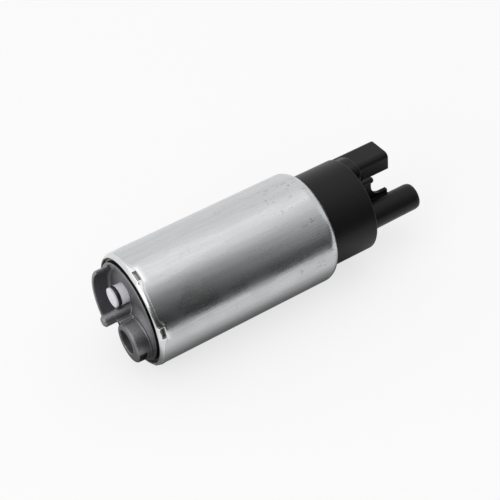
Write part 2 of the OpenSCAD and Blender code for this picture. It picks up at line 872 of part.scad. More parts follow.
// Outside of the head: skirt, collar, tube, plinth, connector, fin and post
module head_outside() {
    turned() intersection() {
        rolled_outline(flange_x0, fit_r, roll_r - can_wall - slip);
        translate([0, flange_x0]) square([fit_r, can_len - flange_x0 + over]);
    }
    rod(roll_x, head_x1 - edge_break, collar_r);
    cone(head_x1 - edge_break, head_x1, collar_r, collar_r - edge_break);
    translate([0, tube_y, tube_z]) {
        cone(wall_x0, tube_seat_x0, tube_r + tube_draft, tube_r);
        rod(tube_seat_x0, tube_x1 - tip_len, tube_r);
        cone(tube_x1 - tip_len, tube_x1, tube_r, tube_r - tip_step);
    }
    section(wall_x0, conn_x1) connector_outline(0);
    section(wall_x0, head_x1 + plinth_len) intersection() {
        circle(plinth_r);
        translate([plinth_y0, plinth_z0])
            round_rect(conn_y0 + conn_w - plinth_y0, plinth_h, 1, plinth_round);
    }
    fin();
    translate([0, post_y, post_z]) {
        rod(wall_x0, head_x1 + post_len - post_r, post_r);
        translate([head_x1 + post_len - post_r, 0, 0]) sphere(post_r);
    }
}

module outlet_head() {
    color([0.12, 0.12, 0.13]) place() difference() {
        union() {
            difference() {
                head_outside();
                rod(flange_x0 - over, wall_x0, cavity_r);
            }
            translate([0, relief_y, relief_z]) rod(relief_x0, wall_x0 + over, relief_bore_r + 1);
        }
        translate([0, tube_y, tube_z]) {
            rod(wall_x0 - over, tube_x1 - nozzle_len, valve_bore_r);
            rod(tube_x1 - nozzle_len - over, tube_x1 + over, valve_bore_r - 0.7);
        }
        section(head_x1 + conn_floor, conn_x1 + over) connector_outline(conn_wall);
        for (y = [blade_ya, blade_yb])
            block([wall_x0 - over, y - blade_t / 2 - slip, blade_z - blade_w / 2 - slip],
                [head_x1 + conn_floor + over, y + blade_t / 2 + slip, blade_z + blade_w / 2 + slip]);
        translate([0, relief_y, relief_z]) rod(relief_x0 - over, head_x1 + over, relief_bore_r);
        ring(head_groove_x - head_groove_w / 2, head_groove_x + head_groove_w / 2,
            fit_r + over, fit_r - 2 * head_seal_r - slip);
    }
}

module head_seal() {
    color([0.05, 0.05, 0.05]) place() o_ring(head_groove_x, fit_r - head_seal_r, head_seal_r);
}

module check_valve() {
    color([0.85, 0.85, 0.83]) place() translate([0, tube_y, tube_z]) {
        rod(poppet_x0, poppet_x0 + poppet_t, poppet_r);
        rod(poppet_x0, stem_x1, stem_d / 2);
    }
}

module check_seat() {
    color([0.1, 0.1, 0.1]) place() translate([0, tube_y, tube_z])
        ring(valve_x0, valve_x0 + valve_seat_t, valve_bore_r - slip, valve_bore_r - 1.3);
}

module check_spring() {
    color([0.7, 0.7, 0.72]) place() translate([0, tube_y, tube_z])
        coil_spring(poppet_x0 + poppet_t + slip, guide_x0 - slip, stem_d / 2 + 0.9, check_wire_r, 5);
}

module check_guide() {
    rim_t = 0.6;
    color([0.85, 0.85, 0.83]) place() translate([0, tube_y, tube_z])
        section(guide_x0, guide_x0 + guide_t) difference() {
            union() {
                difference() {
                    circle(valve_bore_r - slip);
                    circle(valve_bore_r - slip - rim_t);
                }
                circle(stem_d / 2 + 0.7);
                for (a = [90, 210, 330]) rotate(a) translate([0, -0.4]) square([valve_bore_r - rim_t, 0.8]);
            }
            circle(stem_d / 2 + run_gap);
        }
}

module relief_ball() {
    color([0.78, 0.78, 0.8]) place() translate([ball_x, relief_y, relief_z]) sphere(ball_r);
}

module relief_seat() {
    color([0.8, 0.65, 0.35]) place() translate([0, relief_y, relief_z])
        ring(relief_x0, relief_x0 + relief_seat_t, relief_bore_r - slip, relief_hole_r);
}

module relief_spring() {
    color([0.7, 0.7, 0.72]) place() translate([0, relief_y, relief_z])
        coil_spring(ball_x + ball_r + slip, relief_plug_x0 - slip, ball_r - 0.6, relief_wire_r, 5);
}

module relief_plug() {
    color([0.85, 0.8, 0.65]) place() translate([0, relief_y, relief_z])
        ring(relief_plug_x0, head_x1, relief_bore_r - slip, 1);
}

outer_can();
inlet_cover();
cover_seal();
vent_plug();
plug_o_ring();
thrust_pad();
impeller();
spacer_ring();
pump_casing();
front_bush();
shaft();
armature_core();
armature_windings();
core_insulators();
commutator_hub();
commutator_segments();
magnet_a();
magnet_b();
magnet_clips();
brush_a();
brush_b();
brush_spring_a();
brush_spring_b();
brush_holder();
rear_bush();
pigtail_a();
pigtail_b();
choke_coils();
choke_cores();
terminals();
outlet_head();
head_seal();
check_valve();
check_seat();
check_spring();
check_guide();
relief_ball();
relief_seat();
relief_spring();
relief_plug();
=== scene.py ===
"""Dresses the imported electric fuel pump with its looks, a small studio and the camera.

Sizes of the pump's pieces are millimetres measured on the pump itself. There x runs from
the can's inlet lip towards the outlet, y and z start at the shaft's axis, and angles run
from +Y towards +Z. Place turns them into metres in the row frame. The studio's and the
camera's sizes are metres in the row frame.
"""

import json
import logging
import math
from dataclasses import dataclass, field
from enum import Enum
from typing import Callable

import bpy
import numpy as np
from mathutils import Matrix, Vector

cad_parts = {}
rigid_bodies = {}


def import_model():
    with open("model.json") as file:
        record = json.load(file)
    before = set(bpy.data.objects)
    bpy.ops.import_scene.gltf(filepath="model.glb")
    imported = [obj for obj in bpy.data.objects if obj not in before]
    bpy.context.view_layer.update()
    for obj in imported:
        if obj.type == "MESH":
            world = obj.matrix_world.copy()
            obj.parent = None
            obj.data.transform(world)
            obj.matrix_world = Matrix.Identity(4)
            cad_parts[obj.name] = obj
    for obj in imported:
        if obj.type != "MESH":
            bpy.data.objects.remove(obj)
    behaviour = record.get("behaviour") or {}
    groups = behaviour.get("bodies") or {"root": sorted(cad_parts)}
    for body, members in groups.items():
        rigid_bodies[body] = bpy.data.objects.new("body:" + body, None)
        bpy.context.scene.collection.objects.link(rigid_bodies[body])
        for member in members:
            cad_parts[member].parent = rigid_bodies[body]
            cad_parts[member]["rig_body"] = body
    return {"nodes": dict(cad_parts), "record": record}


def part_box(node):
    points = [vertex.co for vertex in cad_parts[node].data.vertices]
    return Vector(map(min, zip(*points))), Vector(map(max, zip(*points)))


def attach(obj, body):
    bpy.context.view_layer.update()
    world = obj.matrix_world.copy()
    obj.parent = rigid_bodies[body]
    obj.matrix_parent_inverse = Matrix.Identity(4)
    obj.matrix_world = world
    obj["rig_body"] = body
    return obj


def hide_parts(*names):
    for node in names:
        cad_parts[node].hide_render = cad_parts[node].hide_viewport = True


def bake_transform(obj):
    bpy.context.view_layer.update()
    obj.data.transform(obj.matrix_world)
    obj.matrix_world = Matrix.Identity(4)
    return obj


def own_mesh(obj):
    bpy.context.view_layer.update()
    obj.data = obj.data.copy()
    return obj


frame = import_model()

MM = 0.001
TURN = 2 * math.pi
TINY = 1e-6
WHITE = (1.0, 1.0, 1.0, 1.0)

Field = Callable[[np.ndarray, np.ndarray, np.ndarray], np.ndarray]

log = logging.getLogger("fuel_pump")


class Body(str, Enum):
    """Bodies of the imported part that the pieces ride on."""

    PUMP = "pump_body"
    BRUSH_A = "carbon_brush_a"
    BRUSH_B = "carbon_brush_b"


class Slot(str, Enum):
    """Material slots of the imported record."""

    CAN_STEEL = "can_steel"
    CAST_ALUMINIUM = "cast_aluminium"
    SEAL_RUBBER = "seal_rubber"
    WHITE_NYLON = "white_nylon"
    CERAMIC = "ceramic"
    IMPELLER_RESIN = "impeller_resin"
    SINTERED_BRONZE = "sintered_bronze"
    SHAFT_STEEL = "shaft_steel"
    LAMINATION_STEEL = "lamination_steel"
    ENAMELLED_COPPER = "enamelled_copper"
    FIBRE_BOARD = "fibre_board"
    PHENOLIC = "phenolic"
    CARBON = "carbon"
    FERRITE = "ferrite"
    SPRING_STEEL = "spring_steel"
    NATURAL_NYLON = "natural_nylon"
    BARE_COPPER = "bare_copper"
    TINNED_BRASS = "tinned_brass"
    BLACK_NYLON = "black_nylon"


class Relief(Enum):
    """Which way a finish breaks up its surface."""

    GRAIN = "grain"
    TURNS = "turns"
    STREAKS = "streaks"


class Effect(Enum):
    """Shader node groups that the finishes share."""

    GRAIN = "fine_grain"
    STREAKS = "drawn_streaks"
    TURNS = "wound_turns"
    CLOUDS = "soft_clouds"
    # Lighter edges: rubbed wear, and painted edge highlights.
    WEAR_AND_HIGHLIGHT = "edge_wear"
    SPECKS = "small_specks"
    SCRATCHES = "short_scratches"


@dataclass(frozen=True)
class Place:
    """Where the pump lies in the row frame, in metres."""

    lip_x: float
    axis_z: float

    @classmethod
    def from_can(cls) -> "Place":
        """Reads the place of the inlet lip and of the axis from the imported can."""
        low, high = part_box("outer_can")
        return cls(low.x, (low.z + high.z) / 2)

    def metres(self, points: np.ndarray) -> np.ndarray:
        """Turns pump points in millimetres into row frame points in metres."""
        return np.asarray(points, float) * MM + (self.lip_x, 0.0, self.axis_z)


# Solids as distance fields


@dataclass(frozen=True)
class Solid:
    """A solid given by its distance field in millimetres, negative inside."""

    distance: Field

    def join(self, other: "Solid", fillet: float = 0.0) -> "Solid":
        """Union of two solids.

        Args:
            other: the solid to add.
            fillet: radius of the hollow fillet where the two meet.

        Returns:
            The joined solid.
        """

        def near(x: np.ndarray, y: np.ndarray, z: np.ndarray) -> np.ndarray:
            """Distance to the nearer solid, eased where the two meet.

            Args:
                x: x of the points.
                y: their y.
                z: their z.

            Returns:
                The distances.
            """
            a = self.distance(x, y, z)
            b = other.distance(x, y, z)
            if fillet == 0:
                return np.minimum(a, b)
            hollow = np.hypot(np.maximum(fillet - a, 0), np.maximum(fillet - b, 0))
            return np.maximum(fillet, np.minimum(a, b)) - hollow

        return Solid(near)

    def meet(self, other: "Solid", edge: float = 0.0) -> "Solid":
        """Common part of two solids.

        Args:
            other: the solid to meet.
            edge: radius of the rounding where the two surfaces cross.

        Returns:
            What lies in both solids.
        """

        def near(x: np.ndarray, y: np.ndarray, z: np.ndarray) -> np.ndarray:
            """Distance to the common part, rounded where the two cross.

            Args:
                x: x of the points.
                y: their y.
                z: their z.

            Returns:
                The distances.
            """
            a = self.distance(x, y, z)
            b = other.distance(x, y, z)
            if edge == 0:
                return np.maximum(a, b)
            round_off = np.hypot(np.maximum(edge + a, 0), np.maximum(edge + b, 0))
            return np.minimum(-edge, np.maximum(a, b)) + round_off

        return Solid(near)

    def cut(self, other: "Solid", edge: float = 0.0) -> "Solid":
        """What is left of the solid without the other one, its new edges rounded."""
        return self.meet(Solid(lambda x, y, z: -other.distance(x, y, z)), edge)


def capped(side: np.ndarray, end: np.ndarray, edge: float) -> np.ndarray:
    """Distance to a body with a side and two ends.

    Args:
        side: distance to its side.
        end: distance to its nearer end.
        edge: radius of the rounding between side and end.

    Returns:
        The distance to the body.
    """
    side = side + edge
    end = end + edge
    inside = np.minimum(np.maximum(side, end), 0)
    return inside + np.hypot(np.maximum(side, 0), np.maximum(end, 0)) - edge


def rod(x0: float, x1: float, radius: float, centre: tuple[float, float] = (0.0, 0.0),
        edge: float = 0.0, growth: float = 0.0) -> Solid:
    """Round bar along X.

    Args:
        x0: where it starts.
        x1: where it ends.
        radius: its radius at x0.
        centre: y and z of its axis.
        edge: radius of its end edges.
        growth: how much larger its radius is at x1.

    Returns:
        The bar.
    """

    def near(x: np.ndarray, y: np.ndarray, z: np.ndarray) -> np.ndarray:
        """Distance to the bar.

        Args:
            x: x of the points.
            y: their y.
            z: their z.

        Returns:
            The distances.
        """
        wide = radius
        if growth:
            wide = radius + growth * np.clip((x - x0) / (x1 - x0), 0, 1)
        side = np.hypot(y - centre[0], z - centre[1]) - wide
        end = np.abs(x - (x0 + x1) / 2) - (x1 - x0) / 2
        return capped(side, end, edge)

    return Solid(near)


def cross_rod(x: float, z: float, radius: float, y0: float, y1: float) -> Solid:
    """Round bar along Y.

    Args:
        x: x of its axis.
        z: z of its axis.
        radius: its radius.
        y0: where it starts.
        y1: where it ends.

    Returns:
        The bar.
    """
    return Solid(lambda px, py, pz: capped(np.hypot(px - x, pz - z) - radius,
                                           np.abs(py - (y0 + y1) / 2) - (y1 - y0) / 2, 0.0))


def block(low: tuple[float, float, float], high: tuple[float, float, float],
          edge: float = 0.0) -> Solid:
    """Box between two corners.

    Args:
        low: its lowest corner.
        high: its highest corner.
        edge: radius of all its edges.

    Returns:
        The box.
    """

    def near(x: np.ndarray, y: np.ndarray, z: np.ndarray) -> np.ndarray:
        """Distance to the box.

        Args:
            x: x of the points.
            y: their y.
            z: their z.

        Returns:
            The distances.
        """
        reach = [np.abs(p - (a + b) / 2) - (b - a) / 2 + edge
                 for p, a, b in zip((x, y, z), low, high)]
        inside = np.minimum(np.maximum(np.maximum(reach[0], reach[1]), reach[2]), 0)
        outside = np.sqrt(sum(np.maximum(r, 0) ** 2 for r in reach))
        return inside + outside - edge

    return Solid(near)


def bar(x0: float, x1: float, low: tuple[float, float], high: tuple[float, float],
        rounds: tuple[float, float], edge: float = 0.0) -> Solid:
    """Bar along X with a rectangular section.

    Args:
        x0: where it starts.
        x1: where it ends.
        low: lowest y and z of the section.
        high: highest y and z of the section.
        rounds: radii of its lower and of its upper corners.
        edge: radius of its end edges.

    Returns:
        The bar.
    """
    mid_y, mid_z = (low[0] + high[0]) / 2, (low[1] + high[1]) / 2

    def near(x: np.ndarray, y: np.ndarray, z: np.ndarray) -> np.ndarray:
        """Distance to the bar.

        Args:
            x: x of the points.
            y: their y.
            z: their z.

        Returns:
            The distances.
        """
        corner = np.where(z > mid_z, rounds[1], rounds[0])
        reach_y = np.abs(y - mid_y) - (high[0] - low[0]) / 2 + corner
        reach_z = np.abs(z - mid_z) - (high[1] - low[1]) / 2 + corner
        inside = np.minimum(np.maximum(reach_y, reach_z), 0)
        side = inside + np.hypot(np.maximum(reach_y, 0), np.maximum(reach_z, 0)) - corner
        return capped(side, np.abs(x - (x0 + x1) / 2) - (x1 - x0) / 2, edge)

    return Solid(near)


def sector(start: float, stop: float) -> Solid:
    """Wedge about the axis between two angles in degrees, less than half a turn."""
    a, b = math.radians(start), math.radians(stop)
    return Solid(lambda x, y, z: np.maximum(y * math.sin(a) - z * math.cos(a),
                                            z * math.cos(b) - y * math.sin(b)) + 0 * x)


def beyond(x0: float, direction: int) -> Solid:
    """All that lies past x0, towards the outlet if direction is 1 or the inlet if -1."""
    return Solid(lambda x, y, z: direction * (x0 - x) + 0 * (y + z))


def polar(distance: float, angle: float) -> tuple[float, float]:
    """Y and z of a point at a distance from the axis and an angle in degrees."""
    return distance * math.cos(math.radians(angle)), distance * math.sin(math.radians(angle))


def bell(off: np.ndarray, width: float) -> np.ndarray:
    """1 in the middle, falling softly to 0 on both sides over about the width."""
    return np.exp(-(off / width) ** 2)


@dataclass(frozen=True)
class Skin:
    """Meshes a solid with small quads that are settled onto its surface."""

    solid: Solid
    low: tuple[float, float, float]
    high: tuple[float, float, float]
    step: float
    settle_rounds: int = 3
    least_slope: float = 0.2
    probe: float = 0.02

    def net(self) -> tuple[np.ndarray, np.ndarray]:
        """Finds the cells that the surface crosses.

        Returns:
            One point for each such cell, and the quads that join them.
        """
        axes = [np.arange(a - self.step, b + 2 * self.step, self.step, dtype=np.float32)
                for a, b in zip(self.low, self.high)]
        values = self.solid.distance(axes[0][:, None, None], axes[1][None, :, None],
                                     axes[2][None, None, :])
        inside = values < 0
        count = np.zeros([n - 1 for n in inside.shape], np.int8)
        for i, j, k in np.ndindex(2, 2, 2):
            count += inside[i:inside.shape[0] - 1 + i, j:inside.shape[1] - 1 + j,
                            k:inside.shape[2] - 1 + k]
        crossed = (count > 0) & (count < 8)
        cells = np.argwhere(crossed)
        index = np.full(crossed.shape, -1, np.int32)
        index[crossed] = np.arange(len(cells))
        return self.cell_points(values, cells, axes), self.quads(inside, index)

    def cell_points(self, values: np.ndarray, cells: np.ndarray,
                    axes: list[np.ndarray]) -> np.ndarray:
        """Middle of the places where the surface crosses each cell's edges.

        Args:
            values: distance at each grid point.
            cells: grid places of the cells that the surface crosses.
            axes: x, y and z of the grid.

        Returns:
            One point for each cell.
        """
        total = np.zeros((len(cells), 3))
        hits = np.zeros(len(cells))
        for axis in range(3):
            unit = np.eye(3, dtype=int)[axis]
            for a, b in np.ndindex(2, 2):
                start = np.insert(np.array([a, b]), axis, 0)
                first = values[tuple((cells + start).T)]
                second = values[tuple((cells + start + unit).T)]
                hit = (first < 0) != (second < 0)
                share = first[hit] / (first[hit] - second[hit])
                total[hit] += start + share[:, None] * unit
                hits[hit] += 1
        origin = np.array([axis[0] for axis in axes])
        return origin + self.step * (cells + total / hits[:, None])

    @staticmethod
    def quads(inside: np.ndarray, index: np.ndarray) -> np.ndarray:
        """Quads round every grid edge that the surface crosses.

        Args:
            inside: which grid points lie inside the solid.
            index: number of each cell's point.

        Returns:
            The quads, facing outwards.
        """
        found = []
        for axis in range(3):
            b, c = (axis + 1) % 3, (axis + 2) % 3
            first = np.moveaxis(inside, (axis, b, c), (0, 1, 2))
            near = np.moveaxis(index, (axis, b, c), (0, 1, 2))
            change = (first[:-1] != first[1:])[:, 1:-1, 1:-1]
            i, j, k = np.nonzero(change)
            ring = np.stack([near[i, j, k], near[i, j + 1, k],
                             near[i, j + 1, k + 1], near[i, j, k + 1]], 1)
            flip = ~first[i, j + 1, k + 1]
            ring[flip] = ring[flip][:, ::-1]
            found.append(ring)
        return np.concatenate(found)

    def slope(self, points: np.ndarray) -> np.ndarray:
        """Gradient of the distance field.

        Args:
            points: where it is taken.

        Returns:
            The gradient at each point.
        """
        parts = []
        for axis in range(3):
            shift = np.zeros(3)
            shift[axis] = self.probe
            ahead = self.solid.distance(*(points + shift).T)
            behind = self.solid.distance(*(points - shift).T)
            parts.append((ahead - behind) / (2 * self.probe))
        return np.stack(parts, 1)

    def build(self) -> tuple[np.ndarray, np.ndarray, np.ndarray]:
        """Meshes the solid.

        Returns:
            Its points, its quads and the outward normal at each point.
        """
        points, quads = self.net()
        for _ in range(self.settle_rounds):
            slope = self.slope(points)
            length = np.maximum((slope ** 2).sum(1), self.least_slope)
            move = slope * (self.solid.distance(*points.T) / length)[:, None]
            points = points - np.clip(move, -self.step / 2, self.step / 2)
        normals = self.slope(points)
        size = np.maximum(np.linalg.norm(normals, axis=1, keepdims=True), TINY)
        return points, quads, normals / size


# Turned and wound forms


def arc(x: float, r: float, radius: float, start: float, stop: float, count: int) -> np.ndarray:
    """Points (x, radius) on an arc.

    Args:
        x: x of its middle.
        r: distance of its middle from the axis.
        radius: its own radius.
        start: its first angle, in degrees from +x towards larger radius.
        stop: its last angle.
        count: how many points it has.

    Returns:
        The points.
    """
    angle = np.radians(np.linspace(start, stop, count))
    return np.stack([x + radius * np.cos(angle), r + radius * np.sin(angle)], 1)


def path(*parts: np.ndarray | tuple[float, float]) -> np.ndarray:
    """Joins points and runs of points into one outline."""
    return np.concatenate([np.atleast_2d(np.asarray(p, float)) for p in parts])


@dataclass
class Turned:
    """A piece that is an outline of (x, radius) points swept round an axis along X."""

    outline: np.ndarray
    centre: tuple[float, float] = (0.0, 0.0)
    steps: int = 128
    closed: bool = True

    def build(self) -> tuple[np.ndarray, list[tuple[int, ...]]]:
        """Sweeps the outline.

        Returns:
            The points, and the faces, which face outwards if the outline runs with its
            body on its right.
        """
        rings = len(self.outline)
        angle = np.linspace(0, TURN, self.steps, endpoint=False)
        x = np.repeat(self.outline[:, 0], self.steps)
        r = np.repeat(self.outline[:, 1], self.steps)
        around = np.tile(angle, rings)
        points = np.stack([x, self.centre[0] + r * np.cos(around),
                           self.centre[1] + r * np.sin(around)], 1)
        i, k = np.meshgrid(np.arange(rings if self.closed else rings - 1),
                           np.arange(self.steps), indexing="ij")
        a = i * self.steps + k
        b = i * self.steps + (k + 1) % self.steps
        c = ((i + 1) % rings) * self.steps + (k + 1) % self.steps
        d = ((i + 1) % rings) * self.steps + k
        faces = [tuple(f) for f in np.stack([a, b, c, d], -1).reshape(-1, 4).tolist()]
        if not self.closed:
            faces.append(tuple(range(self.steps))[::-1])
            last = (rings - 1) * self.steps
            faces.append(tuple(range(last, last + self.steps)))
        return points, faces


@dataclass
class Tube:
    """A round wire along a line of points, closed at both ends."""

    line: np.ndarray
    radius: float
    sides: int = 12

    def build(self) -> tuple[np.ndarray, list[tuple[int, ...]]]:
        """Sweeps a ring along the line.

        Returns:
            The points and the faces.
        """
        along = np.gradient(self.line, axis=0)
        along /= np.linalg.norm(along, axis=1, keepdims=True)
        slanting = (0.0, 0.6, 0.8)
        first = np.cross(along[0], slanting)
        side = [first / np.linalg.norm(first)]
        for direction in along[1:]:
            turned = side[-1] - direction * (side[-1] @ direction)
            side.append(turned / np.linalg.norm(turned))
        side = np.array(side)
        other = np.cross(along, side)
        angle = np.linspace(0, TURN, self.sides, endpoint=False)
        ring = (side[:, None] * np.cos(angle)[None, :, None]
                + other[:, None] * np.sin(angle)[None, :, None])
        points = (self.line[:, None] + self.radius * ring).reshape(-1, 3)
        faces = []
        for i in range(len(self.line) - 1):
            for k in range(self.sides):
                a, b = i * self.sides + k, i * self.sides + (k + 1) % self.sides
                faces.append((a, b, b + self.sides, a + self.sides))
        last = len(points) - self.sides
        faces.append(tuple(range(self.sides))[::-1])
        faces.append(tuple(range(last, last + self.sides)))
        return points, faces


@dataclass
class Bench:
    """Makes meshes, puts them in place and hands them to the frame."""

    place: Place
    paints: dict[Slot, bpy.types.Material] = field(default_factory=dict)

    def add(self, name: str, slot: Slot, built: tuple, body: Body = Body.PUMP,
            replaces: tuple[str, ...] = (), crease: float = 35.0) -> bpy.types.Object:
        """Makes one piece.

        Args:
            name: the piece's name.
            slot: the record's slot whose finish it takes.
            built: points, faces and, for a skin, normals.
            body: the body that it rides on.
            replaces: the CAD nodes that it stands for.
            crease: angle in degrees above which an edge stays sharp.

        Returns:
            The piece.
        """
        points, faces = built[0], built[1]
        mesh = bpy.data.meshes.new(name)
        mesh.from_pydata(self.place.metres(points).tolist(), [], [list(f) for f in faces])
        mesh.shade_smooth()
        if len(built) > 2:
            mesh.normals_split_custom_set_from_vertices(built[2].tolist())
        else:
            mesh.set_sharp_from_angle(angle=math.radians(crease))
        mesh.materials.append(self.paints[slot])
        piece = bpy.data.objects.new(name, mesh)
        bpy.context.scene.collection.objects.link(piece)
        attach(piece, body.value)
        if replaces:
            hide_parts(*replaces)
        log.info("%s: %d points, %d faces, for %s", name, len(points), len(faces),
                 ", ".join(replaces) or "itself")
        return piece

    @staticmethod
    def mask(piece: bpy.types.Object, name: str, values: np.ndarray) -> None:
        """Keeps a value for each of a piece's points, which its finish reads by name."""
        mask = piece.data.attributes.new(name, "FLOAT", "POINT")
        mask.data.foreach_set("value", values.astype(np.float32))


# The pump's visible pieces


@dataclass
class SteelCan:
    """The rolled steel can, with its inlet lip, its stakes and its rolled shoulder."""

    radius: float = 19.0
    wall: float = 1.5
    length: float = 67.2
    lip_round: float = 2.0
    lip_gap: float = 0.5
    lip_inner_x: tuple[float, float, float] = (0.8, 0.5, 0.3)
    lip_inner_soft: tuple[float, float] = (0.1, 0.12)
    lip_zone: float = 5.0
    lip_step: float = 0.1
    bore_rings: tuple[float, ...] = (4.0, 2.4, 1.6, 1.1)
    roll: float = 3.8
    mouth_r: float = 16.07
    mouth_edge: float = 0.3
    mouth_round: float = 0.24
    mouth_inset: tuple[float, float] = (0.22, 0.6)
    stake_angle: float = 48.0
    stake_count: int = 6
    stake_x: tuple[float, float] = (1.4, 2.7)
    stake_half: float = 1.75
    stake_depth: float = 0.85
    stake_slope: tuple[float, float] = (0.75, 0.35)
    stake_soft: float = 0.14
    # Each stake's share of the painted shade in its pocket.
    stake_shade: tuple[float, ...] = (1.0, 0.85, 1.5, 0.9, 1.2, 1.1)
    ridge_height: float = 0.1
    ridge_off: float = 0.24
    ridge_width: float = 0.2
    burr_height: float = 0.25
    burr_side: tuple[int, ...] = (1, 1, -1, 1, -1, 1)
    burr_off: float = 0.5
    burr_x: float = 1.15
    burr_size: tuple[float, float] = (0.45, 0.4)
    crease_x: tuple[float, float] = (1.85, 3.05)
    crease_pull: float = 2.2
    crease_depth: float = 0.13
    crease_width: float = 0.16
    push_depth: float = 0.3
    push_width: float = 1.5
    push_x: tuple[float, float] = (1.1, 1.2)
    rub_width: float = 1.2
    lip_rub: float = 0.5
    lip_rub_fade: float = 0.3
    handled_x: tuple[float, float] = (44.0, 58.0)
    steps: int = 720

    @property
    def bore_r(self) -> float:
        """Inner radius of the can."""
        return self.radius - self.wall

    @property
    def roll_x(self) -> float:
        """Where the rolled shoulder starts."""
        return self.length - self.roll

    def outline(self) -> np.ndarray:
        """Outline of the can.

        Returns:
            Its points, from the inlet lip along the outside and back along the bore.
        """
        edge_r = self.bore_r + self.lip_gap
        lip_angle = 180 - math.degrees(math.asin((edge_r - self.radius + self.lip_round)
                                                 / self.lip_round))
        fine = np.arange(self.lip_round + self.lip_step, self.lip_zone - self.lip_step,
                         self.lip_step)
        plain = np.linspace(self.lip_zone, self.roll_x - 0.5, 30)
        roll_r = self.radius - self.roll
        outer_stop = math.degrees(math.asin((self.mouth_r + self.mouth_edge - roll_r) / self.roll))
        end_x = self.roll_x + self.roll * math.cos(math.radians(outer_stop))
        inner_roll = self.roll - self.wall
        inner_stop = math.degrees(math.asin((self.mouth_r - roll_r) / inner_roll))
        lip_x, soft, mouth = self.lip_inner_x, self.lip_inner_soft, self.mouth_round
        return path(
            (lip_x[0], self.bore_r), (lip_x[1], self.bore_r + soft[0]),
            (lip_x[2], edge_r - soft[1]),
            arc(self.lip_round, self.radius - self.lip_round, self.lip_round, lip_angle, 90, 16),
            np.stack([fine, np.full_like(fine, self.radius)], 1),
            np.stack([plain, np.full_like(plain, self.radius)], 1),
            arc(self.roll_x, roll_r, self.roll, 90, outer_stop, 22),
            arc(end_x - self.mouth_inset[0], self.mouth_r + mouth, mouth, -10, -90, 5),
            (end_x - self.mouth_inset[1], self.mouth_r),
            arc(self.roll_x, roll_r, inner_roll, inner_stop, 90, 12),
            np.array([(x, self.bore_r) for x in (self.roll_x / 2, *self.bore_rings)]))

    def staked(self, points: np.ndarray) -> tuple[np.ndarray, dict[str, np.ndarray]]:
        """Presses the stakes into the lip.

        Args:
            points: the can's points.

        Returns:
            The moved points, and from 0 to 1 how burnished, how darkened by painted shade (in the
            stakes' pockets and the lip's inner gap) and how handled each one is.
        """
        x = points[:, 0]
        r = np.hypot(points[:, 1], points[:, 2])
        angle = np.degrees(np.arctan2(points[:, 2], points[:, 1])) - self.stake_angle
        spacing = 360 / self.stake_count
        nearest = np.round(angle / spacing)
        side = np.radians(angle - spacing * nearest) * self.radius
        stake = nearest.astype(int) % self.stake_count
        mid, half = sum(self.stake_x) / 2, (self.stake_x[1] - self.stake_x[0]) / 2
        across = np.clip((self.stake_half - np.abs(side)) / self.stake_soft + 0.5, 0, 1)
        along = np.clip((half - np.abs(x - mid)) / self.stake_soft + 0.5, 0, 1)
        share = (x - self.stake_x[0]) / (2 * half)
        floor = self.radius - self.stake_depth * (self.stake_slope[0] + self.stake_slope[1] * share)
        near_lip = x < self.lip_zone
        outside = (r > self.bore_r + self.lip_gap + 0.05) & near_lip
        pressed = np.where(outside, across * along * np.maximum(r - floor, 0), 0)
        gap = np.maximum(np.abs(side) - self.stake_half, np.abs(x - mid) - half)
        burr_at = np.array(self.burr_side)[stake] * (self.stake_half + self.burr_off)
        burr = bell(side - burr_at, self.burr_size[0]) * bell(x - self.burr_x, self.burr_size[1])
        ridge = bell(gap - self.ridge_off, self.ridge_width)
        raised = np.where(outside, self.ridge_height * ridge + self.burr_height * burr, 0)
        past = np.maximum(np.abs(side) - self.stake_half, 0)
        crease_x = self.crease_x[0] + np.ptp(self.crease_x) * bell(past, self.crease_pull)
        creased = self.crease_depth * bell(x - crease_x, self.crease_width)
        pressed += np.where(outside, creased, 0)
        push = self.push_depth * bell(side, self.push_width) * np.clip(self.push_x[0] - x, 0, 1)
        pushed = np.where(~outside & (x < self.push_x[1]), push, 0)
        new_r = r - pressed + raised - pushed
        points = points.copy()
        points[:, 1] *= new_r / r
        points[:, 2] *= new_r / r
        rubbed = self.lip_rub * np.clip((crease_x - x) / self.lip_rub_fade, 0, 1)
        burnished = np.maximum(bell(np.maximum(gap, 0), self.rub_width), rubbed) * near_lip
        # Painted shade: each stake's pocket is darker the deeper it is pressed, by that stake's own
        # share.
        pocket_shade = np.clip((pressed - 0.2) / (0.5 * self.stake_depth), 0, 1) * near_lip
        pocket_shade *= np.array(self.stake_shade)[stake] * (0.4 + 0.5 * np.clip(share, 0, 1))
        # Painted shade in the narrow gap at the lip's inner edge.
        gap_shade = (r < self.bore_r + self.lip_gap + 0.01) & near_lip
        handled = np.clip((x - self.handled_x[0]) / np.ptp(self.handled_x), 0, 1)
        return points, {"burnish": burnished, "lip_shade": np.clip(np.maximum(pocket_shade, gap_shade), 0, 1),
                        "handling": handled}

    def build(self, bench: Bench) -> None:
        """Adds the can.

        Args:
            bench: where pieces are made.
        """
        points, faces = Turned(self.outline(), steps=self.steps).build()
        points, masks = self.staked(points)
        piece = bench.add("steel_can", Slot.CAN_STEEL, (points, faces), replaces=("outer_can",))
        for name, values in masks.items():
            bench.mask(piece, name, values)


